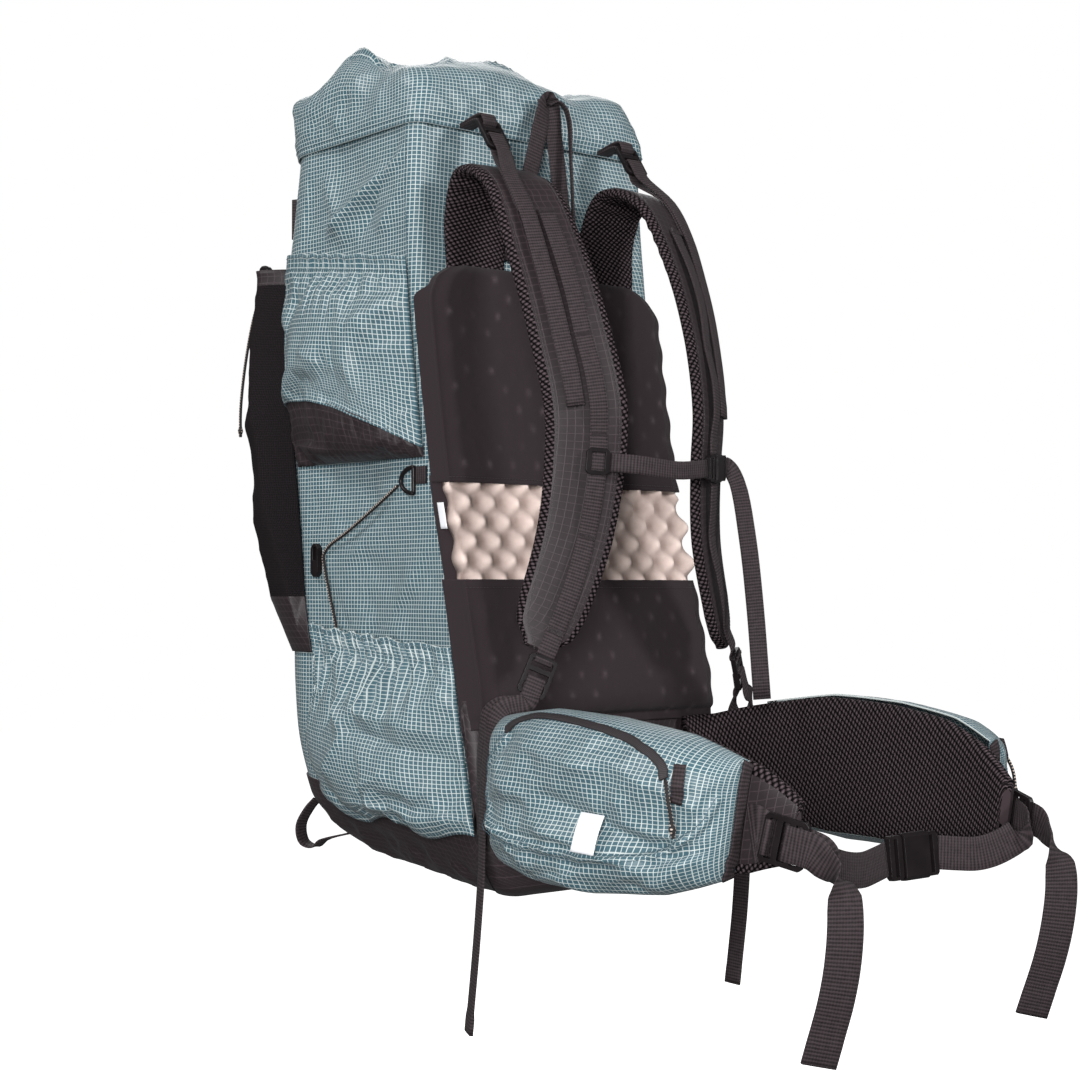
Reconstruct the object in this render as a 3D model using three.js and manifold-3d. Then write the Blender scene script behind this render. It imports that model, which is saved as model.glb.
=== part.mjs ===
// Ultralight roll-top backpack, hanging by its haul loop, in millimetres with +Z up.
// The origin is the top of the haul loop. X runs across the pack, the harness faces -Y, and
// left and right are as seen by someone who looks at the harness.
import * as THREE from 'three';
import { mergeVertices } from 'three/addons/utils/BufferGeometryUtils.js';
import Module from 'manifold-3d';

const wasm = await Module();
wasm.setup();

// Driving dimensions
const CLOTH = 1.4;              // cloth wall
const WEBBING = 1.6;            // webbing thickness
const SEAT = 0.4;               // gap between pieces that touch
const POCKET_SEAT = 0.8;        // gap under the sewn edges of a pocket
const BACK_CORNER = 12;         // bag corner radius by the harness
const FRONT_CORNER = 52;        // bag corner radius by the mesh pocket
const PAD_HALF = 131;           // half width of the foam pad
const PAD_TOP = -160;
const PAD_BOTTOM = -530;
const PAD_FLOOR = 9;            // foam thickness between bumps
const PAD_PEAK = 15;            // foam thickness at the bumps
const BUMP_ROWS = 5;            // rows of egg-crate bumps in the window
const BUMP_COLUMNS = 21;        // half spacings of the bumps across the pad
const WINDOW_TOP = -349;        // bare foam shows between these heights
const WINDOW_BOTTOM = -430;
const STRAP_THICK = 11;
const WING_THICK = 13;
const NARROW_WEB = 15;          // lifters, daisy chain, sternum strap
const HAUL_WEB = 18;
const HIP_WEB = 25;
const CORD = 3;

// Bag rows from the collar seam down: y of the back and front faces, half width, and how much
// the row rises for each millimetre towards the front.
const BAG_ROWS = [
  { z: -34, back: 17, front: 229, half: 133, tilt: 0 },
  { z: -95, back: 15, front: 237, half: 135, tilt: 0 },
  { z: -155, back: 10, front: 246, half: 136, tilt: 0 },
  { z: -215, back: 2, front: 247, half: 136, tilt: 0 },
  { z: -285, back: -9, front: 240, half: 136, tilt: 0 },
  { z: -350, back: -21, front: 233, half: 136, tilt: 0 },
  { z: -430, back: -41, front: 229, half: 136, tilt: 0 },
  { z: -495, back: -57, front: 232, half: 137, tilt: 0 },
  { z: -560, back: -71, front: 227, half: 137, tilt: 0.03 },
  { z: -632, back: -88, front: 206, half: 134, tilt: 0.1 },
  { z: -662, back: -88, front: 186, half: 122, tilt: 0.12 },
  { z: -680, back: -70, front: 158, half: 98, tilt: 0.1 },
  { z: -688, back: -34, front: 112, half: 56, tilt: 0.06 },
];
const BAG_FOOT = -632;          // the tube of the bag ends here, inside the bottom panel

// Places around half of a bag row: 0 to 1 is the back, 1 to 2 the back corner, 2 to 3 the side,
// 3 to 4 the front corner and 4 to 5 the front.
const AROUND = [0, 0.5, 1, 1.5, 2, 2.5, 3, 3.33, 3.67, 4, 4.5, 5];

// Roll-top rows from the seam up: height over the seam, and how far the row has closed towards
// the ridge of the roll.
const ROLL_ROWS = [
  { rise: -5, close: -0.02 },
  { rise: 14, close: -0.055 },
  { rise: 36, close: -0.05 },
  { rise: 53, close: 0.03 },
  { rise: 64, close: 0.24 },
  { rise: 69, close: 0.55 },
  { rise: 68, close: 0.85 },
];
const ROLL_RIDGE = { half: 92, y: 112 };
// Lumps and pinches of the rolled cloth: place, push upwards, push outwards and spread.
const ROLL_LUMPS = [
  { x: -96, y: 108, up: 7, out: 0, spread: 46 },
  { x: -124, y: 196, up: 9, out: 20, spread: 52 },
  { x: -20, y: 90, up: 6, out: 0, spread: 60 },
  { x: 14, y: 30, up: -24, out: -5, spread: 34 },
  { x: 112, y: 62, up: 4, out: 4, spread: 48 },
  { x: 60, y: 190, up: -8, out: 3, spread: 60 },
];

// Side-pocket rows: z at the back seam and at the front seam, how far the cloth stands off the
// bag in the middle, and how far its edges stand off where they lap over the bottom panel.
const UPPER_POCKET_ROWS = [
  { back: -154, front: -128, off: 11, lap: 0 },
  { back: -164, front: -138, off: 9, lap: 0 },
  { back: -205, front: -185, off: 21, lap: 0 },
  { back: -250, front: -228, off: 30, lap: 0 },
  { back: -285, front: -262, off: 33, lap: 0 },
  { back: -303, front: -280, off: 28, lap: 0 },
];
const GUSSET_ROWS = [
  { back: -304.5, front: -281.5, off: 28, lap: 0 },
  { back: -311, front: -295, off: 30, lap: 0 },
  { back: -320, front: -311, off: 17, lap: 0 },
  { back: -327, front: -325, off: 0.5, lap: 0 },
];
const LOWER_POCKET_ROWS = [
  { back: -486, front: -472, off: 13, lap: 0 },
  { back: -500, front: -488, off: 10, lap: 0 },
  { back: -545, front: -535, off: 24, lap: 0 },
  { back: -592, front: -582, off: 31, lap: 1 },
  { back: -622, front: -614, off: 25, lap: 2.6 },
  { back: -636, front: -630, off: 7, lap: 2.9 },
];
const GATHERS = 12;             // spans of a gathered side pocket
const GATHER_DEPTH = 1.6;
// The front edge of the side pockets, where the mesh pocket starts
const frontSeam = (z) => Math.max(2.88, THREE.MathUtils.mapLinear(z, -139, -497, 3.3, 2.88));

// Mesh-pocket rows, and its columns from a side seam to the middle: place around the bag and
// share of the row's stand-off.
const FRONT_POCKET_ROWS = [
  { z: -139, off: 34 },
  { z: -150, off: 32 },
  { z: -215, off: 42 },
  { z: -300, off: 47 },
  { z: -370, off: 45 },
  { z: -440, off: 27 },
  { z: -495, off: 0 },
];
const FRONT_POCKET_COLUMNS = [
  { f: 2.9, full: 0 },
  { f: 3, full: 0.5 },
  { f: 3.33, full: 0.82 },
  { f: 3.67, full: 0.95 },
  { f: 4, full: 1 },
  { f: 4.5, full: 1 },
  { f: 5, full: 1 },
];

// Right shoulder strap, from its root on the back to its lower end: centre line, how far its
// face turns outwards, and width.
const STRAP_ROWS = [
  { at: [76, 4.5, -150], turn: 0, width: 62 },
  { at: [77, 4, -116], turn: 0, width: 64 },
  { at: [79, -15, -84], turn: 4, width: 66 },
  { at: [80, -58, -98], turn: 12, width: 68 },
  { at: [79, -97, -166], turn: 22, width: 70 },
  { at: [75, -121, -234], turn: 26, width: 70 },
  { at: [70, -133, -290], turn: 27, width: 70 },
  { at: [69, -131, -334], turn: 27, width: 68 },
  { at: [75, -125, -394], turn: 27, width: 64 },
  { at: [93, -119, -452], turn: 28, width: 58 },
  { at: [107, -114, -486], turn: 30, width: 44 },
];

// Right hip wing from the lumbar panel to its tip: centre line, height and lean of the wing.
const WING_ROWS = [
  { at: [92, -86, -591], lean: 0.236, height: 84 },
  { at: [120, -93, -591], lean: 0.22, height: 86 },
  { at: [137, -126, -589], lean: 0.12, height: 98 },
  { at: [146, -200, -587], lean: 0.03, height: 114 },
  { at: [145, -270, -589], lean: 0, height: 112 },
  { at: [137, -330, -592], lean: 0, height: 100 },
  { at: [126, -376, -598], lean: 0, height: 74 },
  { at: [117, -403, -604], lean: 0, height: 46 },
];
const WING_STATIONS = 15;
// Hip pocket on the wing: its stretch of the wing, its depth, and how far its belly hangs down
const HIP_POCKET = { from: 0.3, to: 0.83, depth: 46, sag: 0.42, reach: 1.04 };

const BLUE = { color: 0x5d7f88, roughness: 0.72, metalness: 0 };
const BLACK_CLOTH = { color: 0x2a2628, roughness: 0.85, metalness: 0 };
const STRETCH = { color: 0x1f1d1f, roughness: 0.9, metalness: 0 };
const MESH = { color: 0x191819, roughness: 0.95, metalness: 0 };
const FOAM = { color: 0x8a7d76, roughness: 0.8, metalness: 0 };
const WEB = { color: 0x2b2728, roughness: 0.8, metalness: 0 };
const PLASTIC = { color: 0x1a191b, roughness: 0.45, metalness: 0 };

const pack = new THREE.Group();
const v3 = (x, y, z) => new THREE.Vector3(x, y, z);
const mix = THREE.MathUtils.lerp;
const range = (count, make) => Array.from({ length: count }, (_, k) => make(k));
const UP = v3(0, 0, 1);

// A closed body from points and triangles, turned so that its faces point out.
function closedBody(points, triangles) {
  let volume = 0;
  for (const [a, b, c] of triangles) volume += points[a].dot(points[b].clone().cross(points[c]));
  const body = new THREE.BufferGeometry().setFromPoints(points);
  body.setIndex(triangles.flatMap(([a, b, c]) => (volume > 0 ? [a, b, c] : [a, c, b])));
  return body;
}

// A cloth wall between two like grids of points. A wall that goes all the way around joins its
// last column to its first, and a capped one is closed after its last row.
function wall(outer, inner, { around = false, capped = false } = {}) {
  const rows = outer.length;
  const columns = outer[0].length;
  const points = [...outer.flat(), ...inner.flat()];
  const triangles = [];
  const at = (skin, r, c) => (skin * rows + r) * columns + (c % columns);
  const quad = (a, b, c, d) => triangles.push([a, b, c], [a, c, d]);
  const spans = around ? columns : columns - 1;
  const last = rows - 1;
  for (let c = 0; c < spans; c += 1) {
    for (let r = 0; r < last; r += 1) {
      quad(at(0, r, c), at(0, r + 1, c), at(0, r + 1, c + 1), at(0, r, c + 1));
      quad(at(1, r, c), at(1, r, c + 1), at(1, r + 1, c + 1), at(1, r + 1, c));
    }
    quad(at(0, 0, c), at(0, 0, c + 1), at(1, 0, c + 1), at(1, 0, c));
    if (!capped) quad(at(0, last, c), at(1, last, c), at(1, last, c + 1), at(0, last, c + 1));
  }
  if (!around) {
    const edge = columns - 1;
    for (let r = 0; r < last; r += 1) {
      quad(at(0, r, 0), at(1, r, 0), at(1, r + 1, 0), at(0, r + 1, 0));
      quad(at(0, r, edge), at(0, r + 1, edge), at(1, r + 1, edge), at(1, r, edge));
    }
  }
  if (capped) {
    points.push(middle(outer[last]), middle(inner[last]));
    const [outerCap, innerCap] = [points.length - 2, points.length - 1];
    for (let c = 0; c < spans; c += 1) {
      triangles.push([at(0, last, c + 1), at(0, last, c), outerCap]);
      triangles.push([at(1, last, c), at(1, last, c + 1), innerCap]);
    }
  }
  return closedBody(points, triangles);
}

function middle(points) {
  return points.reduce((sum, p) => sum.add(p), v3(0, 0, 0)).divideScalar(points.length);
}

// A solid through a row of rings, closed at both ends.
function loft(rings) {
  const count = rings[0].length;
  const points = [...rings.flat(), middle(rings[0]), middle(rings.at(-1))];
  const triangles = [];
  const at = (r, c) => r * count + (c % count);
  const end = rings.length - 1;
  const [startCap, endCap] = [points.length - 2, points.length - 1];
  for (let c = 0; c < count; c += 1) {
    for (let r = 0; r < end; r += 1) {
      triangles.push([at(r, c), at(r + 1, c), at(r + 1, c + 1)], [at(r, c), at(r + 1, c + 1), at(r, c + 1)]);
    }
    triangles.push([at(0, c), at(0, c + 1), startCap], [at(end, c + 1), at(end, c), endCap]);
  }
  return closedBody(points, triangles);
}

// Stations along a route: a smooth line through the rows, with the width direction of each row.
function stations(rows, count) {
  const line = new THREE.CatmullRomCurve3(rows.map((row) => row.point));
  return range(count, (k) => {
    const u = k / (count - 1);
    const i = Math.min(Math.floor(u * (rows.length - 1)), rows.length - 2);
    const w = u * (rows.length - 1) - i;
    const across = rows[i].across.clone().lerp(rows[i + 1].across, w);
    const size = mix(rows[i].size ?? 0, rows[i + 1].size ?? 0, w);
    return faced({ point: line.getPoint(u), across, size }, line.getTangent(u));
  });
}

// A station squared up: its width direction across the route, and its face direction.
function faced(station, along) {
  const across = station.across.clone().addScaledVector(along, -station.across.dot(along)).normalize();
  return { ...station, along, across, out: along.clone().cross(across).normalize() };
}

// A place off a station: across the piece and out of its face.
function beside(station, across, out) {
  return station.point.clone().addScaledVector(station.across, across).addScaledVector(station.out, out);
}

// Flat webbing through stations.
function webbing(places, width) {
  return loft(places.map((place, k) => {
    const before = places[Math.max(k - 1, 0)].point;
    const after = places[Math.min(k + 1, places.length - 1)].point;
    const s = faced(place, after.clone().sub(before).normalize());
    return [
      beside(s, -width / 2, -WEBBING / 2), beside(s, width / 2, -WEBBING / 2),
      beside(s, width / 2, WEBBING / 2), beside(s, -width / 2, WEBBING / 2),
    ];
  }));
}

// Round cord along a smooth line, eight-sided.
function cordAlong(points) {
  const line = new THREE.CatmullRomCurve3(points);
  const round = new THREE.Shape(range(8, (k) => {
    const angle = (k / 8) * 2 * Math.PI;
    return new THREE.Vector2(Math.cos(angle) * CORD / 2, Math.sin(angle) * CORD / 2);
  }));
  const steps = Math.max(6, Math.round(line.getLength() / (3 * CORD)));
  return new THREE.ExtrudeGeometry(round, { steps, extrudePath: line, bevelEnabled: false });
}

// An outline with four cut corners, and a plain slot to cut from one.
function cutRectangle(width, height, cut, Kind = THREE.Shape) {
  const [w, h] = [width / 2, height / 2];
  const corners = [
    [w - cut, -h], [w, cut - h], [w, h - cut], [w - cut, h],
    [cut - w, h], [-w, h - cut], [-w, cut - h], [cut - w, -h],
  ];
  return new Kind(corners.map(([x, y]) => new THREE.Vector2(x, y)));
}
function slotHole(width, height, middleY) {
  const [w, h] = [width / 2, height / 2];
  const corners = [[w, -h], [w, h], [-w, h], [-w, -h]];
  return new THREE.Path(corners.map(([x, y]) => new THREE.Vector2(x, y + middleY)));
}

// A flat plate of an outline, centred on its own thickness.
function plate(outline, thickness) {
  const body = new THREE.ExtrudeGeometry(outline, { depth: thickness, bevelEnabled: false });
  return body.translate(0, 0, -thickness / 2);
}

// Put a flat piece at a place: its own x along across, its own y along up.
function placed(body, centre, across, up) {
  const x = across.clone().normalize();
  const z = x.clone().cross(up).normalize();
  const y = z.clone().cross(x);
  return body.clone().applyMatrix4(new THREE.Matrix4().makeBasis(x, y, z).setPosition(centre));
}

function weld(body) {
  const bare = body.index ? body.clone() : mergeVertices(body.clone());
  for (const name of Object.keys(bare.attributes)) if (name !== 'position') bare.deleteAttribute(name);
  return mergeVertices(bare, 1e-4);
}

// Two touching bodies joined into one.
function joined(...bodies) {
  const solids = bodies.map(weld).map((body) => new wasm.Manifold(new wasm.Mesh({
    numProp: 3,
    vertProperties: new Float32Array(body.attributes.position.array),
    triVerts: new Uint32Array(body.index.array),
  })));
  const whole = solids.reduce((sum, solid) => sum.add(solid)).getMesh();
  const body = new THREE.BufferGeometry();
  body.setAttribute('position', new THREE.BufferAttribute(whole.vertProperties, 3));
  return body.setIndex(new THREE.BufferAttribute(whole.triVerts, 1));
}

function add(name, body, finish) {
  const mesh = new THREE.Mesh(weld(body), new THREE.MeshStandardMaterial(finish));
  mesh.name = name;
  pack.add(mesh);
}

// A body's mirror image across the middle of the pack.
function flipped(body) {
  const left = weld(body).applyMatrix4(new THREE.Matrix4().makeScale(-1, 1, 1));
  const order = left.index.array;
  for (let k = 0; k < order.length; k += 3) [order[k], order[k + 1]] = [order[k + 1], order[k]];
  return left;
}

// The right-hand piece and its mirror image on the left.
function addPair(name, body, finish) {
  add(`${name}_right`, body, finish);
  add(`${name}_left`, flipped(body), finish);
}

// The bag's outer skin: the corner place and outward direction of one row.
function rowPlace(row, f) {
  const quarter = (f % 1) * Math.PI / 2;
  const backX = row.half - BACK_CORNER;
  const backY = row.back + BACK_CORNER;
  const frontX = row.half - FRONT_CORNER;
  const frontY = row.front - FRONT_CORNER;
  let place;
  let out;
  if (f < 1) {
    place = v3(f * backX, row.back, 0);
    out = v3(0, -1, 0);
  } else if (f < 2) {
    out = v3(Math.sin(quarter), -Math.cos(quarter), 0);
    place = v3(backX, backY, 0).addScaledVector(out, BACK_CORNER);
  } else if (f < 3) {
    out = v3(1, 0, 0);
    place = v3(row.half, mix(backY, frontY, f - 2), 0);
  } else if (f < 4) {
    out = v3(Math.cos(quarter), Math.sin(quarter), 0);
    place = v3(frontX, frontY, 0).addScaledVector(out, FRONT_CORNER);
  } else {
    out = v3(0, 1, 0);
    place = v3((5 - f) * frontX, row.front, 0);
  }
  place.z = row.z + row.tilt * (place.y - (row.back + row.front) / 2);
  return { place, out };
}

// A point off the bag's right half at place f and height z, on the same facets as the bag.
function offBag(f, z, off) {
  const r = Math.max(0, BAG_ROWS.slice(0, -1).findLastIndex((row) => row.z >= z));
  const c = AROUND.slice(0, -1).findLastIndex((stop) => stop <= f);
  const down = (z - BAG_ROWS[r].z) / (BAG_ROWS[r + 1].z - BAG_ROWS[r].z);
  const along = (f - AROUND[c]) / (AROUND[c + 1] - AROUND[c]);
  const atRow = (row) => {
    const [a, b] = [rowPlace(row, AROUND[c]), rowPlace(row, AROUND[c + 1])];
    return a.place.lerp(b.place, along).addScaledVector(a.out.lerp(b.out, along).normalize(), off);
  };
  return atRow(BAG_ROWS[r]).lerp(atRow(BAG_ROWS[r + 1]), down);
}

const mirrored = (p) => v3(-p.x, p.y, p.z);
const backAt = (z) => offBag(0, z, 0).y;

// A whole row around the bag, from the middle of the back by way of the right side.
function ringAround(place) {
  const right = AROUND.map(place);
  return [...right, ...right.slice(1, -1).reverse().map(mirrored)];
}

// Main bag: a tube of ripstop, open at the mouth under the roll and at the foot.
const bagHeights = BAG_ROWS.map((row) => row.z).filter((z) => z >= BAG_FOOT);
const bagSkin = (off) => bagHeights.map((z) => ringAround((f) => offBag(f, z, off)));
add('main_bag', wall(bagSkin(0), bagSkin(-CLOTH), { around: true }), BLUE);

// Bottom panel: a black tub lapped over the foot of the bag, higher up the back.
const LAP_BACK = -528;
const LAP_FRONT = -622;
const lapTop = (f) => mix(LAP_BACK, LAP_FRONT, THREE.MathUtils.smoothstep(f, 1, 2));
const flatness = (z) => THREE.MathUtils.smoothstep(-z, 640, 686);   // 0 on the sides, 1 on the floor
const bottomSkin = (off) => [
  ringAround((f) => offBag(f, lapTop(f), off)),
  ringAround((f) => offBag(f, mix(lapTop(f), BAG_FOOT, 0.5), off)),
  ...BAG_ROWS.filter((row) => row.z <= BAG_FOOT).map((row) => ringAround((f) => (
    offBag(f, row.z, off).add(v3(0, 0, (SEAT + CLOTH - off) * flatness(row.z)))))),
];
add('bottom_panel', wall(bottomSkin(SEAT + CLOTH), bottomSkin(SEAT), { around: true, capped: true }), BLACK_CLOTH);

// Roll top: the collar, closed over the mouth in a lumpy roll.
function rollPoint(p, row) {
  const seam = BAG_ROWS[0];
  const ridge = v3(THREE.MathUtils.clamp(p.x, -ROLL_RIDGE.half, ROLL_RIDGE.half), ROLL_RIDGE.y, 0);
  const place = v3(mix(p.x, ridge.x, row.close), mix(p.y, ridge.y, row.close), seam.z + row.rise);
  const lift = THREE.MathUtils.smoothstep(row.rise, 8, 55);
  const away = v3(place.x - ridge.x * 0.5, place.y - ridge.y, 0).normalize();
  for (const lump of ROLL_LUMPS) {
    const near = Math.exp(-((place.x - lump.x) ** 2 + (place.y - lump.y) ** 2) / (2 * lump.spread ** 2));
    place.z += near * lift * lump.up;
    place.addScaledVector(away, near * lift * lump.out);
  }
  return place;
}
const rollSkin = (off) => ROLL_ROWS.map((row) => ringAround((f) => offBag(f, BAG_ROWS[0].z, off))
  .map((p) => rollPoint(p, { rise: row.rise + off * row.close * 1.2, close: row.close })));
add('roll_top', wall(rollSkin(SEAT + CLOTH), rollSkin(SEAT), { around: true, capped: true }), BLUE);

// Foam pad on the back, thinner at its edges, with staggered egg-crate bumps where it shows.
const PAD_EDGE = 10;
const bumpHeight = (WINDOW_TOP - WINDOW_BOTTOM) / BUMP_ROWS;
const PAD_TOP_ROWS = [{ z: PAD_TOP, inset: 30 }, { z: PAD_TOP - 14, inset: 9 }, { z: PAD_TOP - 36, inset: 0 }];
const bagHeightsBetween = (top, bottom) => BAG_ROWS.map((row) => row.z).filter((z) => z < top && z > bottom);
const upperHeights = bagHeightsBetween(PAD_TOP_ROWS.at(-1).z, WINDOW_TOP);
const lowerHeights = bagHeightsBetween(WINDOW_BOTTOM, PAD_BOTTOM);
const padRows = [
  ...PAD_TOP_ROWS, ...upperHeights.map((z) => ({ z, inset: 0 })),
  ...range(BUMP_ROWS + 1, (k) => ({ z: WINDOW_TOP - k * bumpHeight, inset: 0, bump: k })),
  ...lowerHeights.map((z) => ({ z, inset: 0 })), { z: PAD_BOTTOM, inset: 0 },
];
function foamThickness(row, column) {
  if (row.z === PAD_TOP || column === 0 || column === BUMP_COLUMNS) return PAD_EDGE;
  if (row.bump === undefined) return PAD_PEAK;
  return (row.bump + column) % 2 ? PAD_FLOOR : PAD_PEAK;
}
function padRing(row) {
  const backY = backAt(row.z) - SEAT;
  const half = PAD_HALF - row.inset;
  const front = range(BUMP_COLUMNS + 1, (c) => v3(
    mix(-half, half, c / BUMP_COLUMNS), backY - foamThickness(row, c), row.z,
  ));
  return [...front, v3(half, backY, row.z), v3(-half, backY, row.z)];
}
add('back_pad', loft(padRows.map(padRing)), FOAM);

// Stretch sleeves that hold the pad: a flat front whose edges turn in around the foam. Stops go
// across: place as a share of the half width, and share of the full stand-off.
const SLEEVE_STOPS = [
  { x: -1, stand: 0.1 }, { x: -1, stand: 0.75 }, { x: -0.965, stand: 1 }, { x: -0.5, stand: 1 }, { x: 0, stand: 1 },
  { x: 0.5, stand: 1 }, { x: 0.965, stand: 1 }, { x: 1, stand: 0.75 }, { x: 1, stand: 0.1 },
];
const SLEEVE_SPARE = 1;
function sleeve(rows) {
  const skin = (extra) => rows.map((row) => SLEEVE_STOPS.map((stop) => {
    const share = Math.min(stop.stand, row.stand);
    const off = SEAT + share * (PAD_PEAK + SEAT) + extra * Math.min(1, row.stand + 0.4);
    const half = PAD_HALF + SLEEVE_SPARE + extra - row.inset;
    return v3(stop.x * half, backAt(row.z) - off, row.z + (row.stand < 1 ? extra : 0));
  }));
  return wall(skin(CLOTH), skin(0));
}
const sleeveRow = (z, stand = 1, inset = 0) => ({ z, stand, inset });
const [padTop, ...padShoulder] = PAD_TOP_ROWS;
add('pad_sleeve_upper', sleeve([
  sleeveRow(PAD_TOP + 1, 0.2, padTop.inset), sleeveRow(PAD_TOP + 0.6, 0.8, padTop.inset),
  ...padShoulder.map((row) => sleeveRow(row.z, 1, row.inset)), ...upperHeights.map((z) => sleeveRow(z)),
  sleeveRow(WINDOW_TOP),
]), STRETCH);
add('pad_sleeve_lower', sleeve([WINDOW_BOTTOM, ...lowerHeights, PAD_BOTTOM + 2].map((z) => sleeveRow(z))), STRETCH);

// Side pockets: cloth from the back corner to the front seam that stands off the bag between
// them. Where the seam lies on the front corner, one column follows the start of that corner.
const FULLNESS = 0.55;
function sidePocket(rows, gathered) {
  const sideShare = 1 - 1 / GATHERS;
  const skin = (extra) => rows.map((row, r) => range(GATHERS + 1, (c) => {
    const u = c / GATHERS;
    const z = mix(row.back, row.front, u);
    const seam = frontSeam(z);
    const f = c < GATHERS ? mix(2, Math.min(seam, 3), Math.min(1, u / sideShare)) : seam;
    const ruffle = r < gathered ? GATHER_DEPTH * (c % 2) : 0;
    return offBag(f, z, POCKET_SEAT + row.lap + extra + row.off * Math.sin(u * Math.PI) ** FULLNESS + ruffle);
  }));
  return wall(skin(CLOTH), skin(0));
}
addPair('side_pocket_upper', sidePocket(UPPER_POCKET_ROWS, 2), BLUE);
addPair('pocket_gusset', sidePocket(GUSSET_ROWS, 0), BLACK_CLOTH);
addPair('side_pocket_lower', sidePocket(LOWER_POCKET_ROWS, 3), BLUE);

// Mesh pocket across the front, from one side seam to the other.
const SEAM_STEP = 0.05;
function frontPocket() {
  const skin = (extra) => FRONT_POCKET_ROWS.map((row) => {
    const right = FRONT_POCKET_COLUMNS.map((column, c) => {
      const f = Math.max(column.f, frontSeam(row.z) + SEAM_STEP * (c + 1));
      return offBag(Math.min(f, 5), row.z, POCKET_SEAT + extra + row.off * column.full);
    });
    return [...right, ...right.slice(0, -1).reverse().map(mirrored)];
  });
  return wall(skin(CLOTH), skin(0));
}
add('front_pocket', frontPocket(), MESH);

// Shoulder straps: padded, curved over the shoulder and turned outwards below it.
const strapRows = STRAP_ROWS.map((row) => {
  const turn = THREE.MathUtils.degToRad(row.turn);
  return { point: v3(...row.at), across: v3(Math.cos(turn), Math.sin(turn), 0), size: row.width };
});
const STRAP_STATIONS = 21;
const strapLine = stations(strapRows, STRAP_STATIONS);
// Rounded section of a pad: places across and out, as shares of its width and thickness.
const PAD_SECTION = [
  { across: -0.5, out: -0.2 }, { across: -0.42, out: -0.5 }, { across: 0, out: -0.5 }, { across: 0.42, out: -0.5 },
  { across: 0.5, out: -0.2 }, { across: 0.5, out: 0.2 }, { across: 0.42, out: 0.5 }, { across: 0, out: 0.5 },
  { across: -0.42, out: 0.5 }, { across: -0.5, out: 0.2 },
];
const padded = (line, thick) => loft(line.map((s) => PAD_SECTION.map(
  (corner) => beside(s, corner.across * s.size, corner.out * thick),
)));
addPair('shoulder_strap', padded(strapLine, STRAP_THICK), BLACK_CLOTH);

// A station on the strap's outer face, off its middle line and over what already lies there.
const STRAP_SEAT = 1.6;
const strapFace = Math.sign(strapLine.at(-5).out.dot(v3(0, -1, 0)));
const onStrap = (k, side, over = 0) => ({
  ...strapLine[k], point: beside(strapLine[k], side, strapFace * (STRAP_THICK / 2 + STRAP_SEAT + WEBBING / 2 + over)),
});

// A ladder lock: a frame whose four bars hold the webbing, counted from its anchor end.
const BAR = 4.4;
const SLOT = 5.2;
const LOCK_THICK = 4;
const LOCK_PITCH = BAR + SLOT;
const barAt = (k) => (1.5 - k) * LOCK_PITCH;
function ladderLock(webWidth) {
  const outline = cutRectangle(webWidth + 9, 4 * BAR + 3 * SLOT, 2.5);
  for (const k of [0, 1, 2]) {
    outline.holes.push(slotHole(webWidth + 2.4, SLOT, (barAt(k) + barAt(k + 1)) / 2));
  }
  return plate(outline, LOCK_THICK);
}

// A buckle's own axes at its place: across, up towards its anchor, and out of its face.
function lockFrame(centre, across, up) {
  const x = across.clone().normalize();
  const out = x.clone().cross(up).normalize();
  const y = out.clone().cross(x);
  const at = (b, n) => ({ point: centre.clone().addScaledVector(y, b).addScaledVector(out, n), across: x });
  return { centre, x, y, out, at };
}

// Webbing around a bar from the back of its buckle to the front, over the side named by way.
const AROUND_BACK = LOCK_THICK / 2 + SEAT + WEBBING / 2;
const AROUND_EDGE = BAR / 2 + SEAT + WEBBING / 2;
const CORNER_SLACK = 0.35;
function aroundBar(lock, k, way) {
  const edge = way * (AROUND_EDGE - CORNER_SLACK);
  const side = AROUND_BACK - CORNER_SLACK;
  return [
    lock.at(barAt(k), -AROUND_BACK), lock.at(barAt(k) + edge, -side), lock.at(barAt(k) + way * AROUND_EDGE, 0),
    lock.at(barAt(k) + edge, side), lock.at(barAt(k), AROUND_BACK),
  ];
}
const place = (x, y, z, across) => ({ point: v3(x, y, z), across });
const below = (k, drop) => barAt(k) - drop;

// Load lifters: an anchor loop at the collar seam, a ladder lock, and webbing that is sewn to the
// strap, goes up behind the lock, over its bar and down along the strap's face.
const LIFTER_ANCHOR = v3(80, 11, -30);
const lifterUp = v3(0, 0.55, 0.835);
const sideways = v3(1, 0, 0);
const lifterLock = lockFrame(v3(80, -25, -50), sideways, lifterUp);
addPair('lifter_buckle', placed(ladderLock(NARROW_WEB), lifterLock.centre, lifterLock.x, lifterLock.y), PLASTIC);
addPair('lifter_anchor', webbing([
  { point: LIFTER_ANCHOR.clone().add(v3(0, 0, -4)), across: sideways },
  lifterLock.at(barAt(0) + 6, -AROUND_BACK),
  ...aroundBar(lifterLock, 0, -1),
  lifterLock.at(barAt(0) + 6, AROUND_BACK),
  { point: LIFTER_ANCHOR.clone().add(v3(0, -0.5, 2)), across: sideways },
], NARROW_WEB), WEB);
const LIFTER_SEWN = 6;
const LIFTER_END = 12;
const LIFTER_SIDE = 11;
const TAIL_OVER = WEBBING + SEAT;
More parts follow.
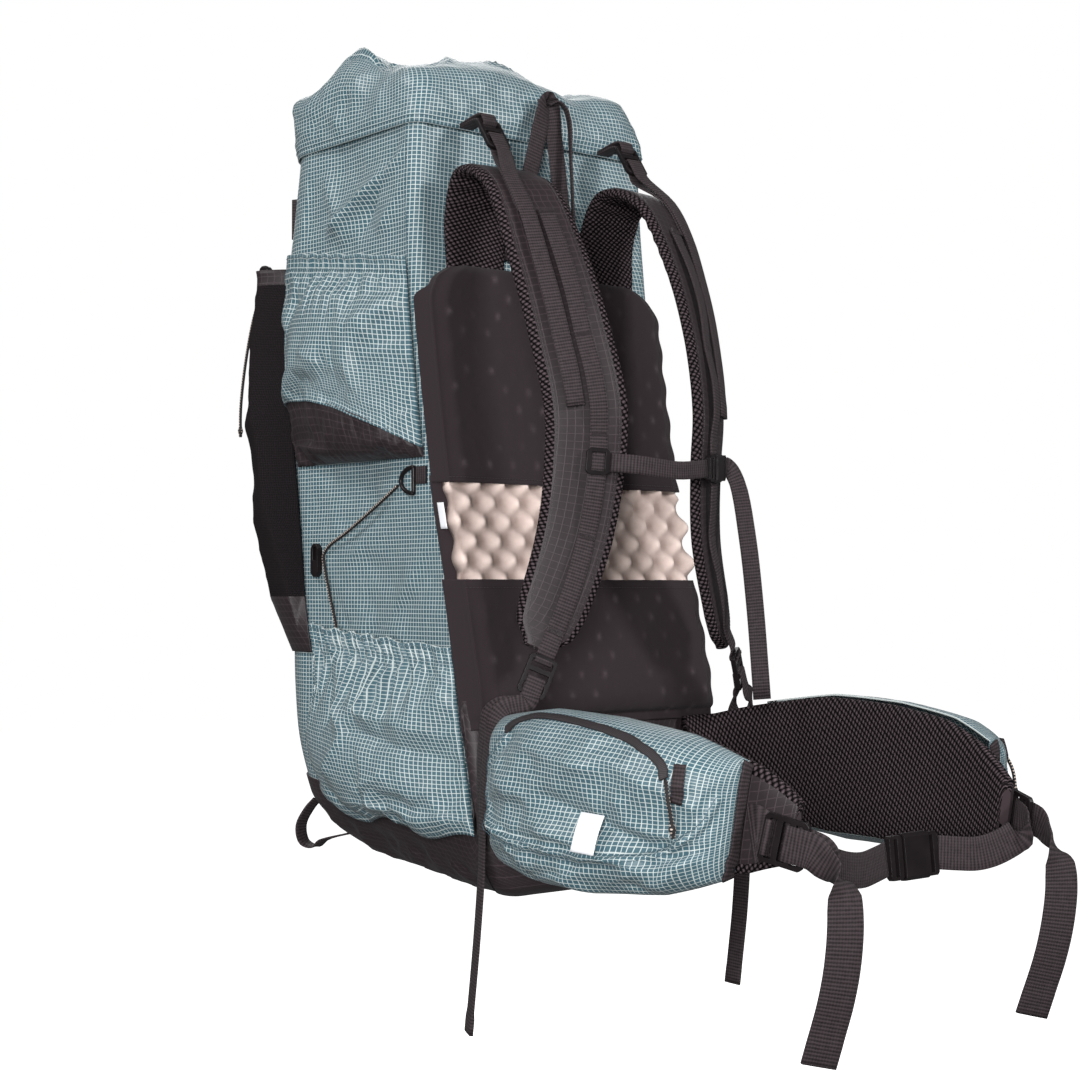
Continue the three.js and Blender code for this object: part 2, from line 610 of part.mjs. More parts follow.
addPair('load_lifter', webbing([
  onStrap(LIFTER_SEWN + 1, LIFTER_SIDE), onStrap(LIFTER_SEWN, LIFTER_SIDE),
  lifterLock.at(below(3, 8), -AROUND_BACK - 1), lifterLock.at(below(3, 0), -AROUND_BACK),
  ...aroundBar(lifterLock, 2, 1),
  lifterLock.at(below(3, 0), AROUND_BACK), lifterLock.at(below(3, 8), AROUND_BACK),
  ...range(LIFTER_END - LIFTER_SEWN + 1, (k) => onStrap(LIFTER_SEWN + k, LIFTER_SIDE, TAIL_OVER)),
], NARROW_WEB), WEB);

// Daisy chain down the face of the strap, and the ladder lock that it holds at the lower end.
const DAISY_FROM = 7;
const DAISY_SIDE = -8;
const foot = onStrap(STRAP_STATIONS - 1, DAISY_SIDE);
const strapOut = foot.out.clone().multiplyScalar(strapFace);
const strapLock = lockFrame(
  foot.point.clone().addScaledVector(foot.along, 21).addScaledVector(strapOut, AROUND_BACK),
  foot.along.clone().cross(strapOut).negate(), foot.along.clone().negate(),
);
addPair('ladder_lock', placed(ladderLock(NARROW_WEB), strapLock.centre, strapLock.x, strapLock.y), PLASTIC);
addPair('strap_webbing', webbing([
  ...range(STRAP_STATIONS - DAISY_FROM, (k) => onStrap(DAISY_FROM + k, DAISY_SIDE))
    .map((s) => ({ point: s.point, across: s.across })),
  ...aroundBar(strapLock, 0, -1),
].map((s, k, all) => (k < all.length - 5 ? s : { point: s.point, across: foot.across })), NARROW_WEB), WEB);

// Lower straps: from the bag's lower corner, over the lock's bar, and down as a free tail.
const cornerAcross = v3(0.35, -0.94, 0);
const lockAcross = strapLock.x.clone().negate();
const onLock = (b, n) => ({ ...strapLock.at(b, n), across: lockAcross });
addPair('lower_strap', webbing([
  ...stations([
    place(139.5, -86, -642, cornerAcross), place(142, -87, -600, cornerAcross), place(143, -91, -556, cornerAcross),
    place(137, -100, -533, lockAcross), onLock(below(3, 8), -AROUND_BACK - 0.8),
  ], 11),
  onLock(below(3, 0), -AROUND_BACK - 0.4),
  ...aroundBar(strapLock, 2, 1).map((turn) => ({ ...turn, across: lockAcross })),
  onLock(below(3, 0), AROUND_BACK + 0.4),
  ...stations([
    onLock(below(3, 8), AROUND_BACK + 0.8), place(142, -114, -534, lockAcross), place(149, -106, -560, cornerAcross),
    place(149, -99, -600, cornerAcross), place(149, -97, -660, cornerAcross), place(150, -92, -720, cornerAcross),
    place(150, -82, -792, cornerAcross),
  ], 15),
], NARROW_WEB), WEB);

// Side-release clip: a socket sleeve and a tongue that fits into it, each with a webbing bar.
const CLIP_BAR = 14;
const clipLength = (webWidth) => webWidth * 1.1;
function barPlate(webWidth) {
  const outline = cutRectangle(webWidth + 7, CLIP_BAR, 2);
  outline.holes.push(slotHole(webWidth + 2, 4, 0));
  return plate(outline, 5);
}
function clipSocket(webWidth) {
  const length = clipLength(webWidth);
  const outline = cutRectangle(webWidth + 9, 9, 2.6);
  outline.holes.push(slotHole(webWidth + 5, 5, 0));
  const sleeveBody = plate(outline, length).rotateX(Math.PI / 2).translate(0, length / 2, 0);
  return joined(sleeveBody, barPlate(webWidth).translate(0, length + 5, 0));
}
function clipTongue(webWidth) {
  const length = webWidth * 0.9;
  const prongs = plate(cutRectangle(webWidth + 4, length + 2, 3), 4).translate(0, length / 2 - 1, 0);
  return joined(prongs, barPlate(webWidth).translate(0, -CLIP_BAR / 2 - 0.6, 0));
}
const CLIP_SPARE = 2;
const socketReach = (webWidth) => clipLength(webWidth) + 5 + CLIP_BAR / 2 + CLIP_SPARE;
const tongueReach = CLIP_BAR + 0.6 + CLIP_SPARE;

// Sternum strap: a slider on the left daisy chain, webbing across, a clip on the right strap.
const CHEST = 14;
const SLIDER_THICK = 3.4;
const CLIP_OVER = WEBBING / 2 + SEAT + 4.5;
const sliderOutline = cutRectangle(20, 22, 3);
sliderOutline.holes.push(slotHole(11, 15, 0));
const chest = strapLine[CHEST];
const sliderPlace = mirrored(onStrap(CHEST, DAISY_SIDE, WEBBING / 2 + SEAT + SLIDER_THICK / 2).point);
const leftAcross = mirrored(chest.across);
const chestUp = chest.along.clone().negate();
add('sternum_slider', placed(plate(sliderOutline, SLIDER_THICK), sliderPlace, leftAcross, mirrored(chestUp)), PLASTIC);
const clipCentre = onStrap(CHEST, -22, CLIP_OVER).point;
add('sternum_socket', placed(clipSocket(NARROW_WEB), clipCentre, chestUp, chest.across), PLASTIC);
add('sternum_tongue', placed(clipTongue(NARROW_WEB), clipCentre, chestUp, chest.across), PLASTIC);
const sternumStart = sliderPlace.clone().addScaledVector(leftAcross, -10 - SEAT);
const sternumEnd = clipCentre.clone().addScaledVector(chest.across, -tongueReach);
add('sternum_webbing', webbing(stations([
  { point: sternumStart, across: UP },
  { point: mirrored(onStrap(CHEST, -40, CLIP_OVER).point), across: UP },
  { point: sternumEnd.clone().lerp(sternumStart, 0.4).setY(sternumEnd.y - 5).add(v3(0, 0, -4)), across: UP },
  { point: sternumEnd, across: UP },
], 10), NARROW_WEB), WEB);
const tailTop = clipCentre.clone().addScaledVector(chest.across, socketReach(NARROW_WEB));
const hanging = v3(0.77, -0.64, 0);
const fromTail = (x, y, z, across) => ({ point: tailTop.clone().add(v3(x, y, z)), across });
add('sternum_tail', webbing(stations([
  fromTail(0, 0, 0, UP), fromTail(9, 4, 2, v3(0.2, 0, 1)), fromTail(16, 0, -12, v3(0.9, -0.3, 0.4)),
  fromTail(14, -14, -60, hanging), fromTail(18, -19, -120, hanging), fromTail(21, -24, -198, hanging),
], 16), NARROW_WEB), WEB);

// Haul loop: webbing in an upside-down V from the top of the pad, with a narrow tape beside it.
const TAPE_WEB = 8;
const HAUL_FOOT = { x: 34, z: -150 };
const haulY = backAt(HAUL_FOOT.z) - 2 * SEAT - WEBBING / 2;
const haulLoop = stations([
  place(-HAUL_FOOT.x, haulY, HAUL_FOOT.z, v3(1, 0, 0.25)), place(-9, -2, -30, v3(1, 0, 0.3)),
  place(-4, -3, -5, v3(1, 0.5, 0.1)), place(0, -1, -WEBBING / 2, v3(0.2, 1, 0)), place(4, 0, -5, v3(-1, 0.5, 0.1)),
  place(10, 1, -30, v3(-1, 0, 0.3)), place(HAUL_FOOT.x, haulY, HAUL_FOOT.z, v3(-1, 0, 0.25)),
], 13);
const tape = stations([
  place(-1.3, -4, -7, v3(0.5, 1, 0.6)), place(8, -6, -2.5, v3(0.1, 1, 0.4)), place(17, -9, -12, v3(0.3, 1, 0.1)),
  place(21, -10, -60, v3(0.5, 0.9, 0)), place(24, -10, -110, v3(0.5, 0.9, 0)), place(27, -12, -150, v3(0.5, 0.9, 0)),
], 10);
add('haul_loop', joined(webbing(haulLoop, HAUL_WEB), webbing(tape, TAPE_WEB)), WEB);

// Hip wings: padded, from the lumbar panel forwards around the hips.
const wingRows = WING_ROWS.map((row) => ({ point: v3(...row.at), across: v3(0, row.lean, 1), size: row.height }));
const wingLine = stations(wingRows, WING_STATIONS);
addPair('hip_wing', padded(wingLine, WING_THICK), BLACK_CLOTH);
const wingFace = Math.sign(wingLine[7].out.x);
const offWing = (s, across, off) => beside(s, across, wingFace * (WING_THICK / 2 + SEAT + off));

// Hip pockets: cloth domes sewn to the outside of the wings.
const POCKET_RIBS = 9;
const POCKET_STEPS = 6;
const FINE_WING = 101;
const fineWing = stations(wingRows, FINE_WING);
const pocketRib = (u) => fineWing[Math.round(mix(HIP_POCKET.from, HIP_POCKET.to, u) * (FINE_WING - 1))];
function pocketPlace(u, v, extra) {
  const s = pocketRib(u);
  const dome = Math.sqrt(Math.max(0, (1 - v ** 4) * (1 - (2 * u - 1) ** 4)));
  const half = (s.size * HIP_POCKET.reach) / 2;
  return offWing(s, half * (v - HIP_POCKET.sag * dome * (1 - v) / 2), SEAT / 2 + extra + dome * HIP_POCKET.depth);
}
const pocketSkin = (extra) => range(POCKET_STEPS + 1, (r) => range(POCKET_RIBS + 1, (c) => (
  pocketPlace(c / POCKET_RIBS, (2 * r) / POCKET_STEPS - 1, extra)
)));
addPair('hip_pocket', wall(pocketSkin(CLOTH), pocketSkin(0)), BLUE);

// Belt locks on the wing tips, the webbing patches that hold them, and the belt with its tails.
const tip = wingLine.at(-2);
const tipUp = tip.along.clone().negate();
const tipOut = tip.out.clone().multiplyScalar(wingFace);
const hipLock = lockFrame(
  offWing(tip, -6, WEBBING / 2 + AROUND_BACK + 2).addScaledVector(tip.along, 12), tipUp.clone().cross(tipOut), tipUp,
);
addPair('hip_lock', placed(ladderLock(HIP_WEB), hipLock.centre, hipLock.x, hipLock.y), PLASTIC);
addPair('hip_tip', webbing([
  { point: offWing(wingLine.at(-3), -8, WEBBING / 2 + 1), across: hipLock.x },
  hipLock.at(barAt(0) + 7, -AROUND_BACK), ...aroundBar(hipLock, 0, -1),
], HIP_WEB), WEB);
const CLIP_Y = -398;
const CLIP_Z = -632;
const beltLevel = v3(0, 0.1, 1);
const beltFront = (reach) => stations([
  place(reach, CLIP_Y, CLIP_Z, beltLevel), place(mix(reach, 118, 0.45), CLIP_Y - 14, CLIP_Z - 2, beltLevel),
  place(102, -421, -625, beltLevel), hipLock.at(below(3, 8), -AROUND_BACK - 0.6),
], 8);
// The two tails hang turned the same way, so twist is 1 on the right and -1 on the left.
const beltTail = (twist) => stations([
  hipLock.at(below(3, 8), AROUND_BACK + 1), place(121, -446, -632, v3(0.5 * twist, -0.2, -0.8)),
  place(121, -450, -656, v3(0.8 * twist, -0.5, -0.3)), place(120, -444, -700, v3(0.8 * twist, -0.6, 0)),
  place(119, -424, -758, v3(0.8 * twist, -0.6, 0)),
], 12);
const belt = (reach, twist) => webbing(
  [...beltFront(reach), ...aroundBar(hipLock, 2, 1), ...beltTail(twist)], HIP_WEB,
);
add('hip_webbing_right', belt(socketReach(HIP_WEB), 1), WEB);
add('hip_webbing_left', flipped(belt(tongueReach, -1)), WEB);
const clipMiddle = v3(0, CLIP_Y, CLIP_Z);
add('hip_clip_socket', placed(clipSocket(HIP_WEB), clipMiddle, beltLevel, sideways), PLASTIC);
add('hip_clip_tongue', placed(clipTongue(HIP_WEB), clipMiddle, beltLevel, sideways), PLASTIC);

// Zip pulls: short cords on the upper front of the hip pockets.
const pullTop = pocketPlace(0.8, 0.55, CORD / 2);
const zipPull = [[0, 0, 0], [4, -5, -3], [7, -10, -13], [7, -13, -25], [6, -14, -38]]
  .map(([x, y, z]) => pullTop.clone().add(v3(x, y, z)));
addPair('zip_pull', cordAlong(zipPull), WEB);

// Side compression: a webbing tab with a ring, a cord to a hook at the front seam and from there
// down into the lower pocket.
function offSide(y, z, off) {
  const [backEdge, frontEdge] = [offBag(2, z, 0).y, offBag(3, z, 0).y];
  return offBag(2 + (y - backEdge) / (frontEdge - backEdge), z, SEAT + off);
}
const TAB_Z = -342;
const RING = { y: 19, size: 22, bar: 3.4 };
const HOOK = { y: 157, z: -412, width: 12, height: 30, thick: 5 };
const CORD_STAND = CORD / 2 + 0.4;
const tabPlaces = [-7, 0, 7].map((y) => ({ point: offSide(y, TAB_Z, WEBBING / 2), across: UP }));
addPair('side_tab', webbing(tabPlaces, NARROW_WEB), WEB);
const ringOutline = cutRectangle(RING.size, RING.size, 6);
ringOutline.holes.push(cutRectangle(RING.size - 2 * RING.bar, RING.size - 2 * RING.bar, 4, THREE.Path));
const forwards = v3(0, 1, 0);
addPair('d_ring', placed(plate(ringOutline, RING.bar), offSide(RING.y, TAB_Z - 4, RING.bar / 2), forwards, UP), PLASTIC);
const hookOutline = cutRectangle(HOOK.width, HOOK.height, 4);
hookOutline.holes.push(slotHole(5, 12, 6));
addPair('cord_hook', placed(plate(hookOutline, HOOK.thick), offSide(HOOK.y, HOOK.z, HOOK.thick / 2), forwards, UP), PLASTIC);
// Route of the compression cord on the side of the bag: y forwards and z up.
const COMPRESSION = [
  { y: 32.5, z: -350 }, { y: 70, z: -369 }, { y: 110, z: -388 }, { y: 138, z: -400 }, { y: 146, z: -408 },
  { y: 144, z: -420 }, { y: 137, z: -440 }, { y: 127, z: -465 }, { y: 120, z: -486 },
];
addPair('compression_cord', cordAlong(COMPRESSION.map((stop) => offSide(stop.y, stop.z, CORD_STAND))), WEB);

// Webbing loops at the lower front corners of the bag: out from the corner and down.
const LOOP_FOOT = { f: 3.5, z: -645 };
const BOTTOM_LOOP = [
  { out: 0, z: 0 }, { out: 7, z: -8 }, { out: 15, z: -24 }, { out: 12, z: -39 }, { out: 2, z: -42 }, { out: -4, z: -30 },
];
const loopFoot = offBag(LOOP_FOOT.f, LOOP_FOOT.z, 2 * SEAT + CLOTH + WEBBING / 2);
const cornerOut = v3(Math.SQRT1_2, Math.SQRT1_2, 0);
const cornerTangent = v3(Math.SQRT1_2, -Math.SQRT1_2, 0);
addPair('bottom_loop', webbing(stations(BOTTOM_LOOP.map((stop) => ({
  point: loopFoot.clone().addScaledVector(cornerOut, stop.out).addScaledVector(UP, stop.z), across: cornerTangent,
})), 11), NARROW_WEB), WEB);

// Cord of the front pocket at its upper left corner: a bare tab, a lock and a hanging cord.
const FRONT_TAB = { f: 3.75, z: -86, width: 13, height: 38, stand: 2.8 };
const tabFoot = mirrored(offBag(FRONT_TAB.f, FRONT_TAB.z, FRONT_TAB.stand));
const tabHead = mirrored(offBag(FRONT_TAB.f, FRONT_TAB.z, FRONT_TAB.stand + FRONT_TAB.width));
const outwards = tabHead.clone().sub(tabFoot);
add('front_tab', placed(
  plate(cutRectangle(FRONT_TAB.width, FRONT_TAB.height, 1), WEBBING), tabFoot.clone().lerp(tabHead, 0.5), outwards, UP,
), BLACK_CLOTH);
const cordTop = mirrored(offBag(3.75, -124, 42.7));
add('front_cord_lock', placed(plate(cutRectangle(11, 17, 3), 9), cordTop.clone().add(v3(0, 0, -12)), outwards, UP), PLASTIC);
const frontCord = [[0, 0, -21], [-3, 3, -50], [-6, 8, -95], [-7, 12, -140], [-5, 14, -168]]
  .map(([x, y, z]) => cordTop.clone().add(v3(x, y, z)));
add('front_cord', cordAlong(frontCord), WEB);

export default pack;
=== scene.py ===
# Ultralight roll-top backpack, hanging by its haul loop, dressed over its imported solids.
# Tables are in millimetres in the part's frame, as in its source; meshes are made in metres.
import math
import bmesh
import bpy
import numpy as np
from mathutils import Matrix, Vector, noise


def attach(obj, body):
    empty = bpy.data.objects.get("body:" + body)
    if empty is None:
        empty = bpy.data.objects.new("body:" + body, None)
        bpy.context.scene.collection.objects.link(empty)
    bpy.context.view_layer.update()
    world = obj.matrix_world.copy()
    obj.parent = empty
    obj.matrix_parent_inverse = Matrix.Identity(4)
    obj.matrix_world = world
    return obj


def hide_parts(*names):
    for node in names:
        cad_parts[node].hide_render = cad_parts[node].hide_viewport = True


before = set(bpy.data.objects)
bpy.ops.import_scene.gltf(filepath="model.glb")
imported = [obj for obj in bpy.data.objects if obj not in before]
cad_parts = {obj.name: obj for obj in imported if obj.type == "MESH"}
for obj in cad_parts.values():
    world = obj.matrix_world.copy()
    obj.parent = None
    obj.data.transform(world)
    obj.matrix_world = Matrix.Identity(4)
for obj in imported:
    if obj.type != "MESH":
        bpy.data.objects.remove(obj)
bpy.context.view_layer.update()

# Camera, light and floor: a product photograph in an even white studio, seen from the wearer's
# side and the pack's left, from the height of its middle. The pack hangs well over the floor.
scene = bpy.context.scene
camera = bpy.data.objects.new("camera", bpy.data.cameras.new("camera"))
camera.location = (-1.0866, -1.2867, -0.4388)
camera.rotation_euler = (math.radians(91.507), 0, math.radians(-40))
camera.data.sensor_width = 36
camera.data.lens = 63.33
scene.collection.objects.link(camera)
scene.camera = camera
PACK_MIDDLE = Vector((0, 0, -0.35))


def area_light(name, place, size, power):
    """A soft square light that looks at the middle of the pack."""
    light = bpy.data.objects.new(name, bpy.data.lights.new(name, "AREA"))
    light.data.size = size
    light.data.energy = power
    light.location = place
    light.rotation_euler = (PACK_MIDDLE - Vector(place)).to_track_quat("-Z", "Y").to_euler()
    scene.collection.objects.link(light)


# The key stands high on the left, two fills light the harness and the last lights the mesh pocket.
area_light("key_light", (-1.7, 0.5, 1.4), 0.7, 25)
area_light("left_fill_light", (-1.8, -1.7, -0.2), 0.9, 58)
area_light("right_fill_light", (0.8, -2.3, 0.7), 0.5, 34)
area_light("back_light", (1.3, 1.9, 1.0), 1.6, 30)


def srgb(code):
    """An sRGB hex colour as the linear colour that a shader takes."""
    shares = [int(code[k:k + 2], 16) / 255 for k in (1, 3, 5)]
    return tuple(s / 12.92 if s <= 0.04045 else ((s + 0.055) / 1.055) ** 2.4 for s in shares) + (1,)


def node(tree, kind, inputs=None, **settings):
    """A new node: its settings, then its inputs by name or number, as values or as linked sockets."""
    made = tree.nodes.new(kind)
    for key, value in settings.items():
        setattr(made, key, value)
    for key, value in (inputs or {}).items():
        if isinstance(value, bpy.types.NodeSocket):
            tree.links.new(value, made.inputs[key])
        else:
            made.inputs[key].default_value = value
    return made


def new_material(name, **sockets):
    """A material with its shader's plain values set; returns it, its tree and its shader."""
    material = bpy.data.materials.new(name)
    material.use_nodes = True
    shader = material.node_tree.nodes["Principled BSDF"]
    for key, value in sockets.items():
        shader.inputs[key.replace("_", " ").title().replace("Ior", "IOR")].default_value = value
    return material, material.node_tree, shader


def surface(tree, shader, share, dark, light, height=None, strength=0.0, depth=0.0):
    """Colours a material by a share from dark, a colour or a socket, to light, and raises its face by a
    height, whose depth is in millimetres."""
    start = srgb(dark) if isinstance(dark, str) else dark
    shades = node(tree, "ShaderNodeMix", {"Factor": share, "A": start, "B": srgb(light)}, data_type="RGBA")
    tree.links.new(shades.outputs["Result"], shader.inputs["Base Color"])
    if height is not None:
        relief = node(tree, "ShaderNodeBump",
                      {"Strength": strength, "Distance": depth / 1000, "Height": height})
        tree.links.new(relief.outputs["Normal"], shader.inputs["Normal"])


def scale(size, period=1.0):
    """The scale of a texture whose pattern repeats every so many millimetres of an object in metres."""
    return 1000 * period / size


# Studio: white all round. The camera sees the full white, and the pack is lit by a softer share of it.
ROOM_SHARE = 0.12
scene.view_settings.view_transform = "Standard"
scene.world = bpy.data.worlds.new("studio")
scene.world.use_nodes = True
tree = scene.world.node_tree
seen = node(tree, "ShaderNodeLightPath").outputs["Is Camera Ray"]
level = node(tree, "ShaderNodeMapRange", {"Value": seen, "To Min": ROOM_SHARE, "To Max": 1}).outputs["Result"]
tree.nodes["Background"].inputs["Color"].default_value = (1, 1, 1, 1)
tree.links.new(level, tree.nodes["Background"].inputs["Strength"])

# Studio floor: matt white paint with a trace of unevenness, lit up to the white of the room.
FLOOR_LEVEL, FLOOR_REACH = -1.25, 9
paint, tree, shader = new_material("studio_paint", roughness=0.9, emission_color=(1, 1, 1, 1),
                                   emission_strength=1.0)
place = node(tree, "ShaderNodeTexCoord").outputs["Object"]
spots = node(tree, "ShaderNodeTexNoise", {"Vector": place, "Scale": scale(500), "Detail": 2.0}).outputs["Fac"]
surface(tree, shader, spots, "#f4f4f4", "#fafafa")
floor_mesh = bpy.data.meshes.new("floor")
ways = ((-1, -1), (1, -1), (1, 1), (-1, 1))
floor_mesh.from_pydata([(x * FLOOR_REACH, y * FLOOR_REACH, FLOOR_LEVEL) for x, y in ways], [], [(0, 1, 2, 3)])
floor_mesh.materials.append(paint)
floor = bpy.data.objects.new("floor", floor_mesh)
floor.visible_diffuse = floor.visible_glossy = False
scene.collection.objects.link(floor)

# Cords: 3 mm braided cord, black with pale flecks. One runs from a ring on each side of the bag
# round a hook and into the lower pocket, one hangs from the mesh pocket and two pull the zips.
CORD = 3.0


def spline(points, count):
    """Count places along the smooth line through points (centripetal Catmull-Rom)."""
    p = np.array(points, float)
    spans = len(p) - 1
    p = np.vstack([2 * p[0] - p[1], p, 2 * p[-1] - p[-2]])
    t = np.linspace(0, spans, count)
    i = np.minimum(t.astype(int), spans - 1)
    w = (t - i)[:, None]
    a, b, c, d = (p[i + k] for k in range(4))
    gaps = (np.sum((r - q) ** 2, 1)[:, None] for q, r in ((a, b), (b, c), (c, d)))
    d0, d1, d2 = (np.maximum(gap, 1e-9) ** 0.25 for gap in gaps)
    m1 = ((b - a) / d0 - (c - a) / (d0 + d1) + (c - b) / d1) * d1
    m2 = ((c - b) / d1 - (d - b) / (d1 + d2) + (d - c) / d2) * d1
    return b + m1 * w + (3 * (c - b) - 2 * m1 - m2) * w ** 2 + (2 * (b - c) + m1 + m2) * w ** 3


def unit(v):
    return v / np.maximum(np.linalg.norm(v, axis=-1, keepdims=True), 1e-12)


def lengths(line):
    """Distance along a line of points, from its start."""
    return np.concatenate([[0], np.cumsum(np.linalg.norm(np.diff(line, axis=0), axis=1))])


def row_lengths(grid):
    """Distance from the first row of a grid to each row, on average over its columns."""
    return np.concatenate([[0], np.cumsum(np.linalg.norm(np.diff(grid, axis=0), axis=2).mean(1))])


def grid_faces(rows, cols, around):
    """The row, the column and the four points of each face of a grid."""
    spans = np.meshgrid(np.arange(rows - 1), np.arange(cols if around else cols - 1), indexing="ij")
    r, c = (a.ravel() for a in spans)
    n = (c + 1) % cols
    return r, c, np.stack([r * cols + c, r * cols + n, (r + 1) * cols + n, (r + 1) * cols + c], 1)


def skin(name, grid, materials, around=False, caps=False, uv=None, inside=None, regions=None):
    """A smooth mesh piece through a grid of points in mm, with cloth coordinates in metres. Around
    joins the last column to the first, caps close both ends, inside is a point behind an open
    cloth, and regions gives the material number of each span of columns."""
    grid = np.asarray(grid, float)
    rows, cols = grid.shape[:2]
    if uv is None:
        ring = np.concatenate([grid, grid[:, :1]], 1) if around else grid
        across = np.cumsum(np.linalg.norm(np.diff(ring, axis=1), axis=2), 1)
        across = np.concatenate([np.zeros((rows, 1)), across], 1)
        down = lengths(grid.mean(1)) if around else row_lengths(grid)
        uv = np.stack([across - across[:, -1:] / 2, np.repeat(down[:, None], across.shape[1], 1)], -1) / 1000
    r, c, quads = grid_faces(rows, cols, around)
    corners = np.stack([uv[r, c], uv[r, c + 1], uv[r + 1, c + 1], uv[r + 1, c]], 1)
    flat = grid.reshape(-1, 3)
    a, b, e, d = (flat[quads[:, k]] for k in range(4))
    normals = np.cross(e - a, d - b)
    middles = (a + b + e + d) / 4
    behind = flat.mean(0) if inside is None else np.array(inside, float)
    turned = np.sum(normals * (middles - behind)) < 0
    faces = quads[:, ::-1].tolist() if turned else quads.tolist()
    corners = corners[:, ::-1] if turned else corners
    if caps:
        first, last = list(range(cols)), list(range((rows - 1) * cols, rows * cols))
        faces += [first, last[::-1]] if turned else [first[::-1], last]
    mesh = bpy.data.meshes.new(name)
    mesh.from_pydata((flat / 1000).tolist(), [], faces)
    layer = mesh.uv_layers.new(name="cloth")
    values = np.zeros((len(mesh.loops), 2))
    values[:len(quads) * 4] = corners.reshape(-1, 2)
    layer.data.foreach_set("uv", values.ravel())
    mesh.polygons.foreach_set("use_smooth", [True] * len(mesh.polygons))
    for material in materials:
        mesh.materials.append(material)
    if regions is not None:
        numbers = np.zeros(len(mesh.polygons), int)
        numbers[:len(quads)] = np.asarray(regions)[c] if np.ndim(regions) == 1 else np.asarray(regions)[r, c]
        mesh.polygons.foreach_set("material_index", numbers)
    piece = bpy.data.objects.new(name, mesh)
    scene.collection.objects.link(piece)
    return piece


def tube(name, line, radius, material, sides=10):
    """A round cord along a line of points in mm, with a radius for each point or for all."""
    along = unit(np.gradient(line, axis=0))
    side = unit(np.cross(along[0], (0.3, 0.5, 0.8)))
    radius = np.broadcast_to(radius, len(line))
    angles = np.linspace(0, 2 * np.pi, sides, endpoint=False)
    rings = []
    for point, way, r in zip(line, along, radius):
        side = unit(side - way * np.dot(side, way))
        up = np.cross(way, side)
        rings.append([point + r * (math.cos(t) * side + math.sin(t) * up) for t in angles])
    return skin(name, rings, [material], around=True, caps=True)


# Braided cord: two crossing sets of strands, with a pale strand that shows as short flecks.
STRAND = 5.2
flecked_cord, tree, shader = new_material("flecked_cord", roughness=0.8)
cloth = node(tree, "ShaderNodeUVMap", uv_map="cloth").outputs["UV"]
place = node(tree, "ShaderNodeSeparateXYZ", {"Vector": cloth}).outputs
turns = node(tree, "ShaderNodeMath", {0: place["X"], 1: 2000 / CORD}, operation="MULTIPLY").outputs[0]
per_strand = 2000 * math.pi / STRAND
runs = node(tree, "ShaderNodeMath", {0: place["Y"], 1: per_strand}, operation="MULTIPLY").outputs[0]
waves = []
for way in ("ADD", "SUBTRACT"):
    slant = node(tree, "ShaderNodeMath", {0: runs, 1: turns}, operation=way).outputs[0]
    waves.append(node(tree, "ShaderNodeMath", {0: slant}, operation="SINE").outputs[0])
braid = node(tree, "ShaderNodeMath", {0: waves[0], 1: waves[1]}, operation="MULTIPLY").outputs[0]
fleck = node(tree, "ShaderNodeMapRange", {"Value": braid, "From Min": 0.42, "From Max": 0.6})
surface(tree, shader, fleck.outputs["Result"], "#1d1a1b", "#c9b8ad", braid, 0.6, 0.4)

# Bag rows from the collar seam down: z, y of the back and front faces, half width, and how much the
# row rises for each millimetre towards the front.
BAG = np.array([
    (-34, 17, 229, 133, 0), (-95, 15, 237, 135, 0), (-155, 10, 246, 136, 0), (-215, 2, 247, 136, 0),
    (-285, -9, 240, 136, 0), (-350, -21, 233, 136, 0), (-430, -41, 229, 136, 0), (-495, -57, 232, 137, 0),
    (-560, -71, 227, 137, 0.03), (-632, -88, 206, 134, 0.1), (-662, -88, 186, 122, 0.12),
    (-680, -70, 158, 98, 0.1), (-688, -34, 112, 56, 0.06)])
BACK_CORNER, FRONT_CORNER = 12, 52


def smooth(x, xs, ys):
    """A smooth curve through a table's rows that never overshoots them (monotone cubic)."""
    xs, ys = np.asarray(xs, float), np.asarray(ys, float)
    if xs[0] > xs[-1]:
        xs, ys = xs[::-1], ys[::-1]
    h, d = np.diff(xs), np.diff(ys) / np.diff(xs)
    both = d[:-1] * d[1:] > 0
    m = np.where(both, 2 * d[:-1] * d[1:] / np.where(both, d[:-1] + d[1:], 1), 0)
    m = np.concatenate([[d[0]], m, [d[-1]]])
    i = np.clip(np.searchsorted(xs, x) - 1, 0, len(h) - 1)
    t = np.clip((x - xs[i]) / h[i], 0, 1)
    return (ys[i] * (1 + 2 * t) * (1 - t) ** 2 + h[i] * m[i] * t * (1 - t) ** 2
            + ys[i + 1] * t ** 2 * (3 - 2 * t) + h[i] * m[i + 1] * t ** 2 * (t - 1))


